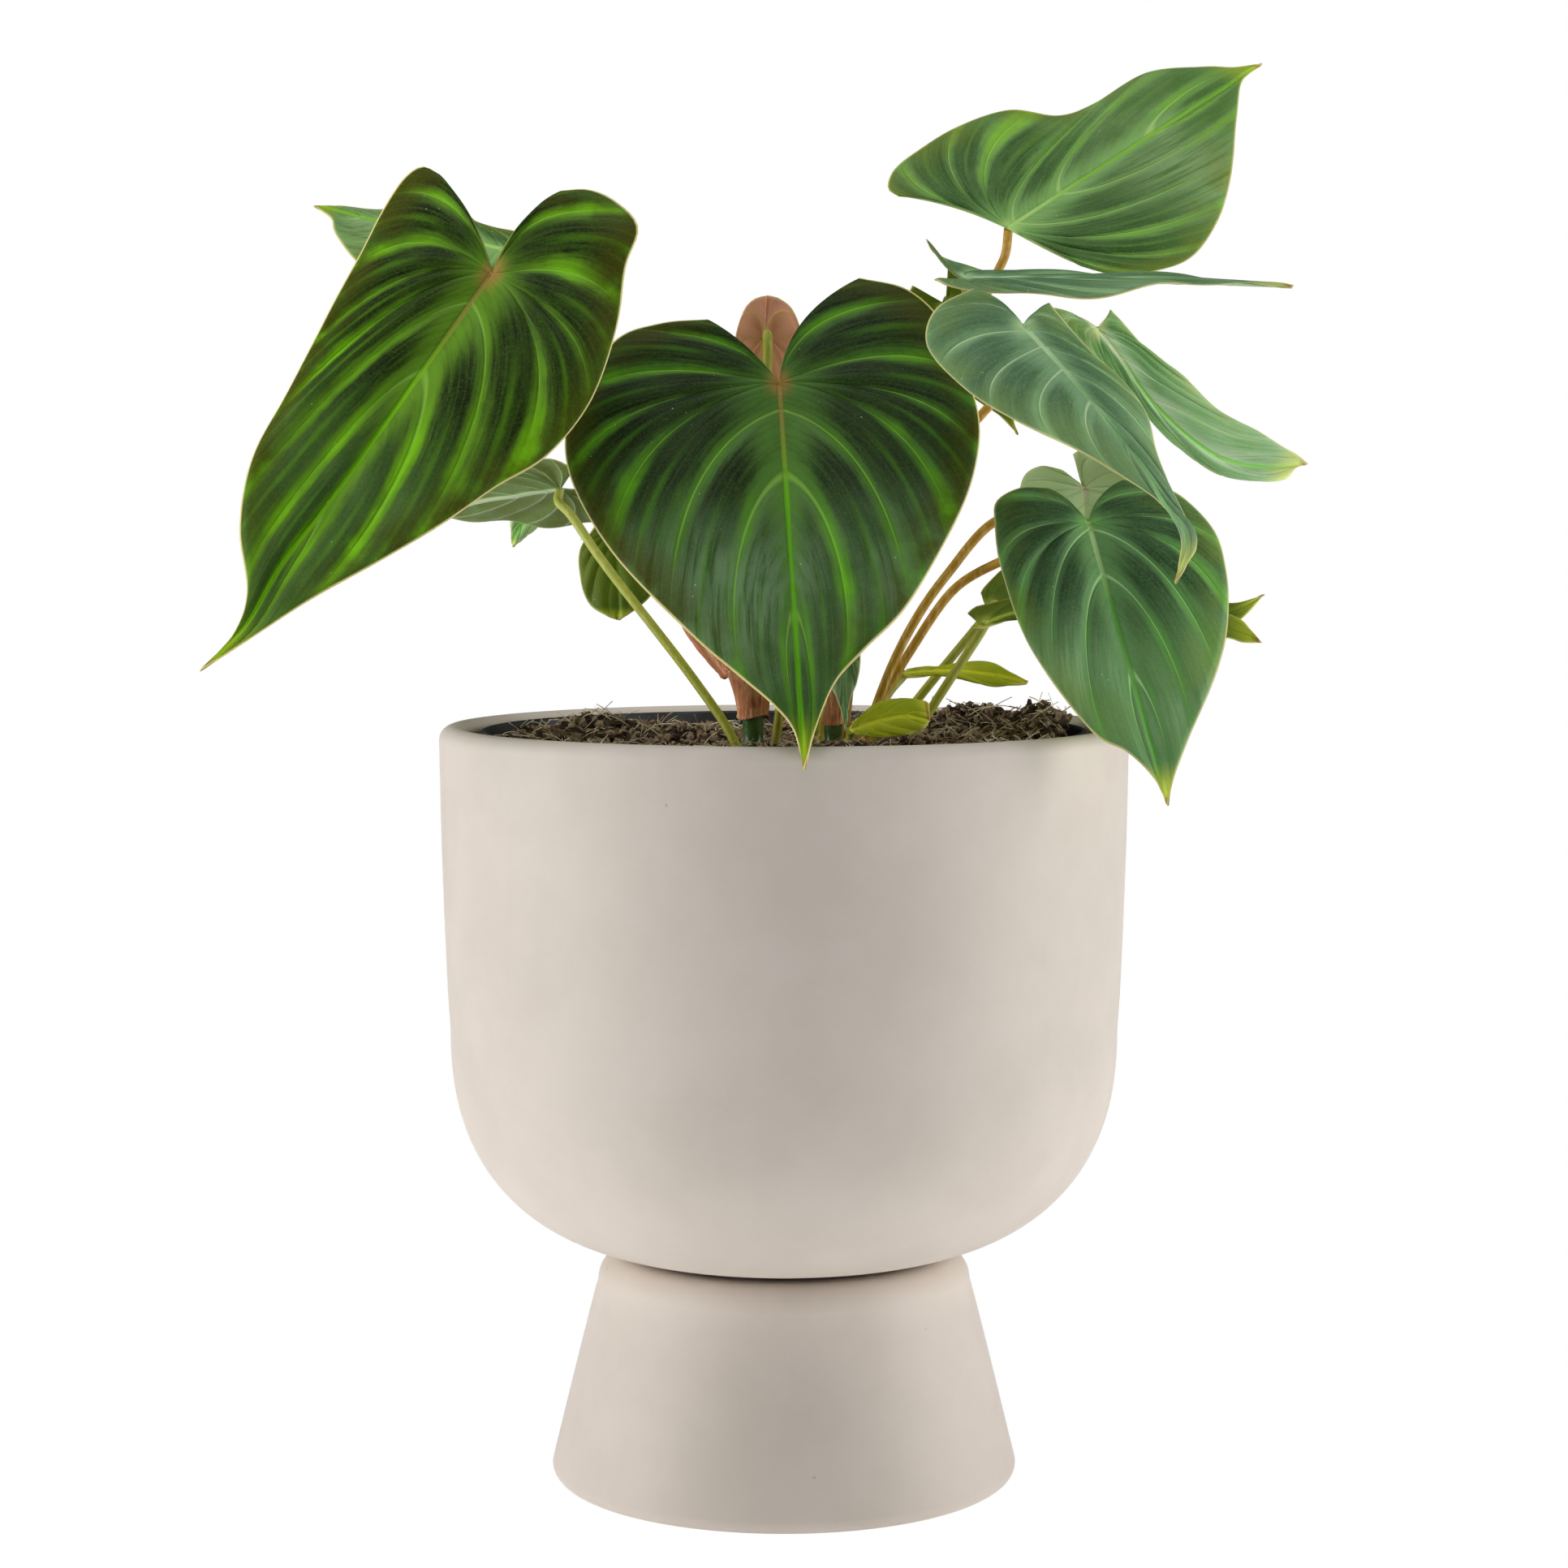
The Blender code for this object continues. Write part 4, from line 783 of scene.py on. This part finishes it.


# %% [markdown]
# ### The velvet finish
#
# On the real leaf the cells are domed, so the blade looks black-green between the veins and bright
# green along them: the veins' own paler green, brightened by painted light coming through the blade.
# The recipe measures how far a point is from the nearest vein, and lays down: a mid green by the
# midrib, a bright green that follows the veins outwards, a dark zone between the veins, a thin pale
# line on each vein, a warm or yellow tint near margin and tip, and a cream edge that is painted edge
# light. Fine noise breaks it all up. The shader's sheen gives a faint velvet sheen, and a painted
# sheen, pale patches of light, lies mostly on the half towards the tip.

# %% Leaf finishes
# Colours are as the picture shows them. mid lies by the midrib, bright along the veins (partly
# painted light coming through the blade), deep and low in the dark zones near the joint and towards
# the tip, and haze is a painted sheen: pale patches of light, mostly on the half towards the tip. The
# amounts run from 0 to 1: dark, edge, warm_by and thread say how strong the dark zones, the cream
# edge (painted edge light), the warm tint and the lines on the veins are. short is for the veins that
# stand between the main ones.
LOOKS = {
    "velvet": dict(
        mid=(66, 102, 40), bright=(84, 148, 14), deep=(3, 7, 1), low=(34, 54, 28), line=(112, 156, 56),
        warm=(50, 44, 2), rib=(122, 112, 52), under=(128, 130, 74), tip=(110, 130, 8), haze=(104, 132, 96),
        spot=(150, 104, 60), dark=0.98, edge=0.9, warm_by=0.8, gloss=0.1, thread=0.6, short=0.2),
    "fresh": dict(
        mid=(106, 146, 80), bright=(108, 160, 40), deep=(26, 58, 16), low=(48, 80, 30),
        line=(150, 184, 104), warm=(90, 96, 10), rib=(150, 184, 104), under=(150, 160, 100),
        tip=(128, 150, 20), haze=(132, 160, 112), spot=(150, 184, 104), dark=0.92, edge=0.6, warm_by=0.5,
        gloss=0.15, thread=0.6, short=0.15),
    "mid_green": dict(
        mid=(92, 134, 80), bright=(88, 148, 60), deep=(18, 44, 18), low=(84, 120, 70), line=(150, 188, 130),
        warm=(100, 116, 24), rib=(160, 194, 130), under=(150, 160, 110), tip=(176, 190, 62),
        haze=(124, 156, 120), spot=(100, 150, 70), dark=0.9, edge=0.6, warm_by=0.4, gloss=0.2, thread=0.85,
        short=0.0),
    "grey_green": dict(
        mid=(102, 136, 98), bright=(120, 160, 108), deep=(42, 76, 46), low=(70, 104, 68),
        line=(168, 198, 150), warm=(110, 130, 60), rib=(160, 192, 142), under=(84, 98, 36),
        tip=(156, 166, 80), haze=(156, 182, 150), spot=(150, 180, 130), dark=0.85, edge=0.6, warm_by=0.35,
        gloss=0.18, thread=0.7, short=0.1),
    "light_green": dict(
        mid=(158, 188, 146), bright=(118, 184, 70), deep=(50, 104, 36), low=(70, 124, 52),
        line=(190, 214, 170), warm=(160, 170, 90), rib=(190, 214, 160), under=(190, 164, 126),
        tip=(176, 190, 100), haze=(160, 190, 150), spot=(176, 200, 130), dark=0.85, edge=0.5, warm_by=0.3,
        gloss=0.2, thread=0.8, short=0.3),
    "pale": dict(
        mid=(166, 188, 144), bright=(164, 188, 138), deep=(150, 174, 128), low=(154, 178, 132),
        line=(176, 188, 152), warm=(160, 176, 110), rib=(190, 206, 160), under=(172, 186, 140),
        tip=(170, 186, 110), haze=(172, 188, 154), spot=(186, 206, 160), dark=0.6, edge=0.4, warm_by=0.3,
        gloss=0.2, thread=0.5, short=0.3),
    "olive": dict(
        mid=(70, 90, 16), bright=(76, 100, 18), deep=(54, 74, 10), low=(56, 74, 10), line=(116, 140, 50),
        warm=(90, 92, 8), rib=(140, 154, 60), under=(120, 134, 50), tip=(150, 164, 40), haze=(100, 120, 50),
        spot=(140, 154, 60), dark=0.45, edge=0.5, warm_by=0.4, gloss=0.2, thread=0.3, short=0.0),
    "yellow": dict(
        mid=(170, 180, 30), bright=(182, 194, 36), deep=(124, 138, 6), low=(114, 128, 6),
        line=(184, 190, 80), warm=(150, 150, 30), rib=(180, 184, 80), under=(150, 158, 60),
        tip=(176, 176, 50), haze=(150, 160, 50), spot=(170, 174, 60), dark=0.5, edge=0.4, warm_by=0.3,
        gloss=0.2, thread=0.5, short=0.3),
    "young": dict(
        mid=(188, 136, 114), bright=(178, 176, 84), deep=(176, 122, 100), low=(180, 128, 98),
        line=(186, 180, 84), warm=(170, 120, 96), rib=(186, 184, 90), under=(188, 134, 112),
        tip=(150, 120, 70), haze=(188, 150, 116), spot=(186, 184, 90), dark=0.5, edge=0.3, warm_by=0.3,
        gloss=0.2, thread=0.5, short=0.3),
    "bract": dict(
        mid=(190, 130, 104), bright=(198, 142, 112), deep=(168, 106, 82), low=(168, 106, 82),
        line=(204, 156, 126), warm=(160, 100, 70), rib=(190, 136, 106), under=(186, 128, 100),
        tip=(140, 84, 60), haze=(186, 128, 100), spot=(150, 90, 60), dark=0.4, edge=0.2, warm_by=0.4,
        gloss=0.2, thread=0.5, short=0.3),
}
LOOKS["bright_velvet"] = dict(LOOKS["velvet"], bright=(100, 160, 8), mid=(80, 118, 28), haze=(96, 126, 56))
# The picture's light falls at about half strength on a leaf that faces the camera
LEAF_LIFT = 2.0


def leaf_facts(coords):
    """What the finish knows of a point: the mesh's facts, and noises that break the pattern up."""
    at = {key: coords.node("ShaderNodeAttribute", {"attribute_name": key}, output="Fac")
          for key in ("vein", "out", "share", "rib", "rim", "under")}
    # Streaks run out along the veins, as the side veins' own small branches do
    strand = coords.node("ShaderNodeCombineXYZ", inputs={
        "X": at["vein"] * 7.0, "Y": at["out"] * 2.2, "Z": at["share"]})
    return SimpleNamespace(
        **at, patches=coords.clouds(95.0, 4.0, 0.6), nap=coords.clouds(1900.0, 3.0),
        haze=coords.clouds(30.0, 4.0), streak=strand.clouds(1.6, 4.0, 0.65), uneven=strand.clouds(0.33),
        away=at["vein"].wave(1.0), fine=(at["vein"] * 7.0).wave(1.0), rib_line=at["rib"].between(0.9, 0.3))


def dark_and_glow(at, look):
    """How much a point belongs to the dark zone between two veins, and to the bright band on a vein."""
    # The dark zone lies close under each vein and fades slowly towards the next one below it
    within = at.vein.maths("FRACT", at.vein)
    lean = within.maths("MINIMUM", within / 0.62, (1.0 - within) / 0.38)
    loose = lean + (at.patches - 0.5) * 0.5 + (at.streak - 0.5) * 0.5 + (at.uneven - 0.5) * 0.8
    loose = loose + at.share.between(0.3, 0.05) * 0.1 + (at.haze - 0.5) * 0.7
    inner = at.out.between(0.06, 0.40) * 0.75 + at.streak.between(0.42, 0.62) * 0.25
    outer = at.out.between(1.02, 0.84) * 0.6 + 0.4
    dark = loose.between(0.15, 0.62) * inner * outer * at.share.between(0.99, 0.80) * look["dark"]
    ends = at.share.between(0.92, 0.55)
    # The bright band along each vein is the vein's own paler green, brightened by painted light coming
    # through the blade
    glow = loose.between(0.42, -0.1) * at.out.between(0.2, 0.6) * (at.uneven.between(0.75, 0.35) * 0.7 + 0.2)
    glow = glow * (ends * 0.9 + 0.1) * (at.haze.between(0.68, 0.42) * 0.6 + 0.4)
    # Shorter veins stand between the main ones, near the margin only
    short = ((at.vein + 0.45).wave(1.0) + (at.patches - 0.5) * 0.3).between(0.22, 0.0)
    short = short * at.out.between(0.45, 0.75) * ends * look["short"]
    return dark, glow.maths("MAXIMUM", glow, short)


def laid_on(face, coats):
    """A colour with coats on it, each given as how much of it there is and its own colour."""
    for amount, coat in coats:
        face = amount.blend(face, coat)
    return face


def upper_side(at, colour, look, dark, glow):
    """The side that faces the light, coat by coat."""
    lower = at.share.between(0.22, 0.55)
    shade = lower.blend(colour.deep, colour.low)
    shade = (at.nap.between(0.5, 0.75) * 0.08).blend(shade, colour.mid)
    # A painted sheen: pale patches of light in the haze colour, mostly on the half towards the tip and off
    # the bright bands
    painted_sheen = at.haze.between(0.38, 0.7) * at.streak.between(0.3, 0.6) * (lower * 0.9 + 0.1) * (1.0 - glow)
    warmth = at.rim.between(10.0, 0.5) * at.patches.between(0.3, 0.6) * at.share.between(0.85, 0.5)
    thread = (at.away * (at.out + 0.35)).between(0.05, 0.01) * at.out.between(0.98, 0.7)
    thread = thread * at.share.between(0.98, 0.78)
    rib_colour = at.share.between(0.06, 0.32).blend(colour.rib, colour.bright)
    joint_spot = at.share.maths("ABSOLUTE", at.share).between(0.055, 0.0) * at.rib.between(4.0, 0.5)
    return laid_on((at.out.between(0.08, 0.5) * 0.45).blend(colour.mid, colour.deep), [
        (dark, shade),
        (glow, colour.bright),
        (painted_sheen * 0.6, colour.haze),
        (warmth * look["warm_by"], colour.warm),
        (thread * look["thread"], colour.line),
        (at.fine.between(0.25, 0.0) * 0.05, colour.line),
        (at.rib_line * 0.85, rib_colour),
        (joint_spot * 0.7, colour.spot),
        (at.share.between(0.84, 0.97) * 0.85, colour.tip),
        (at.share.between(0.955, 0.99) * 0.75, paint(150, 92, 48, 1.3)),
    ])


def underside(at, colour):
    """The paler side, where the veins stand out."""
    return laid_on((at.away.between(0.12, 0.02) * 0.45).blend(colour.under, colour.line), [
        (at.patches.between(0.4, 0.7) * 0.35, colour.mid),
        (at.rib.between(1.2, 0.5) * 0.8, colour.line),
    ])


def leaf_finish(name, look):
    """The material of one look, for both sides of a blade."""
    finish, shader, coords = new_finish(
        f"leaf_{name}", Roughness=0.5, Specular_IOR_Level=look["gloss"], Sheen_Weight=0.03,
        Sheen_Roughness=0.4, Sheen_Tint=(0.7, 0.95, 0.6, 1))
    at = leaf_facts(coords)
    colour = SimpleNamespace(**{
        key: paint(*value, LEAF_LIFT) for key, value in look.items() if isinstance(value, tuple)})
    dark, glow = dark_and_glow(at, look)
    dots = coords.cells(520.0).between(0.11, 0.05) * coords.clouds(140.0, 1.0).between(0.62, 0.66)
    face = laid_on(upper_side(at, colour, look, dark, glow), [
        (at.under, underside(at, colour)),
        # The cream edge along the margin is painted edge light, where light catches the thin blade
        (at.rim.between(0.40, 0.12) * look["edge"], paint(226, 206, 140, 1.4)),
        (dots * 0.6, paint(190, 200, 170, 1.5)),
        (at.nap.between(0.3, 0.75) * 0.05, colour.line),
    ])
    join(face, shader, "Base Color")
    join(dark * 0.12 + at.nap * 0.15 + 0.42, shader, "Roughness")
    crease = at.away.between(0.12, 0.0) * at.out.between(1.0, 0.8) * 0.8 + at.rib_line * 1.2
    height = at.fine * 0.08 + at.nap * 0.12 + at.patches * 0.5 - crease * (1.0 - at.under * 2.0) * 0.8
    bump(height, shader, 0.00035, 0.7)
    return finish


leaf_finishes = {name: leaf_finish(name, look) for name, look in LOOKS.items()}
print(len(leaf_finishes), "leaf finishes")

# %% Blades
# How many rows a blade's mesh has from tip to lobe, and how many columns on each side of the midrib
SIZES = {"front": (110, 26), "left": (110, 26), "top": (100, 24), "right_upper": (90, 20),
         "right_low": (90, 20), "right_far": (80, 18), "level": (80, 18)}
blade_faces = 0
for name, leaf in LEAVES.items():
    mesh = blade_mesh(f"leaf_{name}", leaf, *SIZES.get(name, (56, 12)))
    put(f"leaf_{name}", mesh, f"blade_{name}", leaf_finishes[leaf["finish"]])
    blade_faces += len(mesh.polygons)
mesh = blade_mesh("pink_bract", BRACT, 40, 8)
put("pink_bract", mesh, "blade_bract", leaf_finishes["bract"])
print(blade_faces, "faces in the blades")

# %% [markdown]
# ## The stalks
#
# Each leaf hangs on a stalk that rises from the soil or from an old stem, leans out and meets the
# blade from behind. It is thickest at its root, and swells a little where it meets the blade. A tree
# sweeps a circle along the stalk's line and sets short bristles on it, which this species is known
# for. The bristles are three-sided spikes, so that hundreds of them stay light.

# %% A tree for a stalk with bristles
stalking, given = new_tree(
    "bristly_stalk", Sides=14, Bristles=0.0, Bristle_length=0.001, Bristle_width=0.00005, Seed=0,
    Skin=bpy.types.Material, Bristle_finish=bpy.types.Material)
geometry = given["Geometry"]
factor = geometry.node("GeometryNodeSplineParameter", output="Factor")
marked = geometry.node("GeometryNodeStoreNamedAttribute", {"data_type": "FLOAT", "domain": "POINT"},
                       {"Geometry": geometry, "Name": "along", "Value": factor})
tube = clad(swept(marked, given["Sides"], MM), given["Skin"])
spike = geometry.node("GeometryNodeMeshCone", inputs={
    "Vertices": 3, "Side Segments": 1, "Radius Top": 0.0, "Radius Bottom": given["Bristle width"],
    "Depth": given["Bristle length"]})
length = geometry.node("FunctionNodeRandomValue", {"data_type": "FLOAT"}, {"Min": 0.5, "Max": 1.2}, 1)
spikes = strewn(tube, spike, given["Bristles"], given["Seed"], length)
finish_tree(tube, clad(spikes, given["Bristle finish"]))
print("stalk tree:", len(stalking.nodes), "nodes")


# %% Stalk finishes
def stalk_finish(name, low, high, streak):
    """Smooth, slightly waxy skin with faint streaks along it, from the colour low at the root to high."""
    finish, shader, coords = new_finish(f"stalk_{name}", Roughness=0.42, Specular_IOR_Level=0.3)
    climb = coords.node("ShaderNodeAttribute", {"attribute_name": "along"}, output="Fac")
    narrow = coords.stretched(1.0, 1.0, 0.16)
    streaks = narrow.clouds(1100.0, 3.0)
    patches = coords.clouds(160.0)
    height = (climb + (patches - 0.5) * 0.5).between(0.0, 0.9)
    skin = height.blend(paint(*low, LEAF_LIFT), paint(*high, LEAF_LIFT))
    join((streaks.between(0.45, 0.7) * 0.45).blend(skin, paint(*streak, LEAF_LIFT)), shader, "Base Color")
    join(patches * 0.25 + 0.32, shader, "Roughness")
    bump(streaks, shader, 0.00015, 0.5)
    return finish


stalk_finishes = {
    "olive": stalk_finish("olive", (124, 118, 34), (112, 116, 38), (148, 142, 86)),
    "green": stalk_finish("green", (138, 140, 40), (134, 140, 62), (158, 160, 84)),
    "brown": stalk_finish("brown", (128, 98, 18), (158, 120, 46), (186, 158, 104)),
}
bristle_finish, shader, coords = new_finish("bristles", Roughness=0.6)
tone = coords.clouds(200.0)
join(tone.between(0.3, 0.7).blend(paint(150, 136, 60, 1.5), paint(176, 164, 90, 1.5)), shader, "Base Color")

# %% Stalks
SOIL_LEVEL, SOIL_BUMP, SOIL_SLOPE = 161.5, 2.6, 0.03
BRISTLE_DENSITY = 26000.0


def soil_height(x, y):
    """The soil's top, in millimetres: low mounds with lumps on them, higher to the right."""
    mound, lumps = Vector((x * 0.045, y * 0.045, 7.0)), Vector((x * 0.16, y * 0.16, 12.0))
    return SOIL_LEVEL + SOIL_SLOPE * x + SOIL_BUMP * (1.5 * noise.noise(mound) + 0.45 * noise.noise(lumps))


bristles = 0
for index, (name, leaf) in enumerate(LEAVES.items()):
    blade = Blade(leaf)
    if "stem" in leaf:
        x, y = STEMS[leaf["stem"]]["place"]
        dx, dy = leaf["seat"]
        start = [(x + dx, y + dy, STEM_TOP), (x + dx, y + dy, STEM_TOP + 5)]
    else:
        x, y = leaf["root"]
        start = [(x, y, soil_height(x, y) - 8), (x, y, soil_height(x, y) + 1)]
    knee = blade.joint - leaf["knee"] * blade.face
    line = smooth_line([*start, *leaf["route"], knee, blade.joint - 0.3 * blade.face], 8)
    climb = np.linspace(0, 1, len(line))
    thick, thin = leaf["radius"]
    radii = thick + (thin - thick) * climb + 0.35 * np.exp(-((climb - 1) / 0.05) ** 2)
    mesh = grown(line_curve(name, line, radii), stalking, Seed=index,
                 Bristles=BRISTLE_DENSITY * (0.4 + leaf["quilt"]),
                 Skin=stalk_finishes[leaf["stalk"]], Bristle_finish=bristle_finish)
    bristles += len(mesh.polygons)
    put(f"stalk_{name}", mesh, f"petiole_{name}")
print(bristles, "faces in the stalks and their bristles")

# %% [markdown]
# ## Stems and sheaths
#
# The two old stems are glossy green between their joints. Round each stands the dry remains of a
# leaf's sheath: brown paper with ribs along it, torn at the top and flared at the bottom edge.

# %% Stem and sheath finishes
stem_green, shader, coords = new_finish("glossy_stem", Roughness=0.25, Specular_IOR_Level=0.6)
patches = coords.clouds(220.0, 3.0)
join(patches.between(0.3, 0.7).blend(paint(40, 74, 34, 1.5), paint(84, 116, 54, 1.5)), shader, "Base Color")
join(patches * 0.2 + 0.18, shader, "Roughness")

papery, shader, coords = new_finish("papery_sheath", Roughness=0.75, Specular_IOR_Level=0.3)
narrow = coords.stretched(1.0, 1.0, 0.12)
ribs = narrow.clouds(1300.0, 4.0, 0.65)
stains = coords.clouds(260.0, 3.0)
skin = stains.between(0.35, 0.65).blend(paint(136, 88, 60, 2.6), paint(164, 120, 90, 2.5))
join((ribs.between(0.5, 0.65) * 0.6).blend(skin, paint(92, 50, 28, 2.0)), shader, "Base Color")
bump(ribs, shader, 0.0004, 0.8)


# %% Stems and sheaths
def sheath_mesh(name, stem, seed):
    """A thin paper cup that widens upwards, with a torn upper edge and a rolled lower one. At its left
    it is torn loose: there it stands out and up."""
    columns, rows = 72, 26
    low, high = stem["sheath_bottom"], stem["sheath_top"]
    places = []
    for r in range(rows + 1):
        share = r / rows
        for c in range(columns):
            angle = 2 * math.pi * c / columns
            aside, ahead = math.cos(angle), math.sin(angle)
            ragged = noise.noise(Vector((aside * 1.6, ahead * 1.6, seed)))
            torn = noise.noise(Vector((aside * 7, ahead * 7, seed + 3)))
            loose = math.exp(-((angle - math.pi) / 0.5) ** 2)
            top = high - 1.2 + 2.4 * ragged + 1.2 * torn + 1.4 * loose
            ribbed = 0.08 * math.sin(angle * 22 + 3 * torn) + 0.25 * ragged * share
            edge = 0.35 * math.exp(-share / 0.06) + 2.0 * loose * share ** 2
            wide = stem["radius"] + 0.75 + (stem["crown"] - stem["radius"]) * share + ribbed + edge
            sink = 0.5 * math.sin(angle * 2 + seed) * (1 - share)
            places.append(Vector((wide * aside, wide * ahead, low + (top - low) * share - sink)) * MM)
    faces = [(a, d, c, b) for a, b, c, d in grid_faces(rows + 1, columns, closed=True)]
    mesh = bpy.data.meshes.new(name)
    mesh.from_pydata(places, [], faces)
    return mesh


def stem_profile(radius, crown, bottom):
    """A stem's profile: a rounded head, narrowing to the sheath's bottom, and a knot at the soil."""
    head = arc((crown - 0.8, STEM_TOP - 1), 0.8, 90, 0, 5)
    return [(0, STEM_TOP - 0.2), (crown - 1, STEM_TOP - 0.2), *head[1:], (crown - 0.1, STEM_TOP - 2.5),
            (radius, bottom), (radius, 165), (radius - 0.15, 163.5), (radius + 0.1, 162.6),
            (radius - 0.1, 161.5), (radius, 157), (radius, 146), (0, 146)]


for seed, (name, stem) in enumerate(STEMS.items()):
    profile = stem_profile(stem["radius"], stem["crown"], stem["sheath_bottom"])
    standing = turned(f"green_stem_{name}", profile, stem_green, 40)
    sheath = sheath_mesh(f"dry_sheath_{name}", stem, seed * 5.0)
    for mesh in (standing, sheath):
        mesh.transform(Matrix.Translation(Vector((*stem["place"], 0)) * MM))
    put(f"green_stem_{name}", standing, f"stem_{name}", stem_green)
    piece = put(f"dry_sheath_{name}", sheath, f"sheath_{name}", papery)
    paper = piece.modifiers.new("Paper", "SOLIDIFY")
    paper.thickness = 0.4 * MM
    paper.offset = 0
print("stems and sheaths are in place")

# %% [markdown]
# ## The soil
#
# Potting mix is peat, bark and fibre. The ground is a fine bumpy disc with low heaps at both sides.
# A tree scatters crumbs, pale chips and dry fibres on it, each a tiny shape of a few faces that is
# turned and stretched at random.

# %% Soil finishes
earth, shader, coords = new_finish("damp_soil", Roughness=0.95, Specular_IOR_Level=0.2)
clods = coords.clouds(420.0, 6.0, 0.75)
bits = coords.cells(700.0)
ground = clods.between(0.42, 0.70).blend(paint(28, 20, 15, 1.3), paint(100, 82, 66, 1.5))
pale = bits.between(0.2, 0.08) * clods.between(0.5, 0.6) * 0.6
join(pale.blend(ground, paint(150, 128, 96)), shader, "Base Color")
bump(clods - bits * 0.4, shader, 0.001, 0.9)


def bit_finish(name, first, second, scale):
    """A rough finish that wanders between two colours."""
    finish, shader, coords = new_finish(name, Roughness=0.85, Specular_IOR_Level=0.25)
    tone = coords.clouds(scale)
    join(tone.between(0.35, 0.65).blend(paint(*first), paint(*second)), shader, "Base Color")
    return finish


crumb_finish = bit_finish("soil_crumbs", (62, 47, 38), (172, 150, 126), 330.0)
fibre_finish = bit_finish("dry_fibres", (172, 144, 106), (248, 236, 208), 120.0)
chip_finish = bit_finish("pale_chips", (170, 160, 140), (214, 208, 192), 200.0)

# %% A tree that scatters crumbs, chips and fibres
scattering, given = new_tree(
    "soil_litter", Crumbs=0.0, Crumb_size=0.001, Fibres=0.0, Fibre_length=0.008, Chips=0.0, Seed=0,
    Ground=bpy.types.Material, Crumb_finish=bpy.types.Material, Fibre_finish=bpy.types.Material,
    Chip_finish=bpy.types.Material)
geometry = given["Geometry"]


def scattered(density, shape, seed, low, high, lean, finish):
    """Copies of a shape on the ground, each turned and stretched at random."""
    def random_vector(least, most, seed):
        return geometry.node("FunctionNodeRandomValue", {"data_type": "FLOAT_VECTOR"},
                             {"Min": least, "Max": most, "Seed": seed})
    turn = random_vector((-lean, -lean, 0), (lean, lean, 6.283), seed)
    size = random_vector(low, high, seed + 7)
    return clad(strewn(geometry, shape, density, given["Seed"] + seed, size, turn), finish)


crumb = geometry.node("GeometryNodeMeshIcoSphere", inputs={"Radius": given["Crumb size"], "Subdivisions": 1})
# A bowed line about 1 m long, which is then made as small as a fibre
bow = geometry.node("GeometryNodeCurveQuadraticBezier", inputs={
    "Resolution": 5, "Start": (-0.5, 0.0, 0.0), "Middle": (0.05, 0.16, 0.14), "End": (0.5, 0.0, 0.10)})
long = geometry.node("ShaderNodeCombineXYZ", inputs={axis: given["Fibre length"] for axis in "XYZ"})
fibre = geometry.node("GeometryNodeTransform", inputs={"Geometry": swept(bow, 3, 0.014), "Scale": long})
finish_tree(
    clad(geometry, given["Ground"]),
    scattered(given["Crumbs"], crumb, 1, (0.3, 0.3, 0.3), (1.8, 1.8, 1.4), 3.1, given["Crumb finish"]),
    scattered(given["Chips"], crumb, 2, (0.5, 0.4, 0.2), (1.6, 1.1, 0.5), 1.2, given["Chip finish"]),
    scattered(given["Fibres"], fibre, 3, (0.3, 0.3, 0.3), (1.4, 1.4, 1.4), 0.75, given["Fibre finish"]))
print("litter tree:", len(scattering.nodes), "nodes")

# %% Soil
SOIL_RADIUS, RINGS, SPOKES = 62.2, 62, 220
# Each heap's place, its height and its width
HEAPS = [(44, 26, 6, 9), (30, 32, 4, 8), (56, 14, 3.5, 7), (-52, 22, 4, 10), (-42, 32, 3, 9),
         (-22, 8, 2, 8), (-57, 2, 2.5, 6), (22, -30, 1.5, 8), (-60, -10, 4, 9), (-58, 12, 3.5, 8),
         (60, -8, 4, 9), (60, 8, 3.5, 8)]


def ground_point(distance, angle):
    """A point of the soil's top: mounds and heaps, two grains of roughness, and a sunken edge."""
    x, y = distance * math.cos(angle), distance * math.sin(angle)
    z = soil_height(x, y) + sum(h * math.exp(-((x - a) ** 2 + (y - b) ** 2) / w ** 2) for a, b, h, w in HEAPS)
    coarse, fine = Vector((x * 0.45, y * 0.45, 3)), Vector((x * 1.3, y * 1.3, 5))
    z += 1.1 * noise.noise(coarse) + 0.55 * noise.noise(fine)
    z -= 1.2 * max(0, (distance - 57) / 5) ** 2
    return Vector((x, y, z)) * MM


ground_points = [ground_point(0, 0)]
ground_points += [ground_point(SOIL_RADIUS * k / RINGS, 2 * math.pi * s / SPOKES)
                  for k in range(1, RINGS + 1) for s in range(SPOKES)]
faces = [(0, 1 + s, 1 + (s + 1) % SPOKES) for s in range(SPOKES)]
faces += grid_faces(RINGS, SPOKES, first=1, closed=True)
ground_mesh = bpy.data.meshes.new("ground")
ground_mesh.from_pydata(ground_points, [], faces)
mesh = grown(ground_mesh, scattering, Crumbs=260000.0, Crumb_size=0.0009, Fibres=75000.0, Fibre_length=0.0085,
             Chips=5000.0, Seed=3, Ground=earth, Crumb_finish=crumb_finish, Fibre_finish=fibre_finish,
             Chip_finish=chip_finish)
put("potting_soil", mesh, "soil", smooth=False)
print("soil:", len(mesh.polygons), "faces")
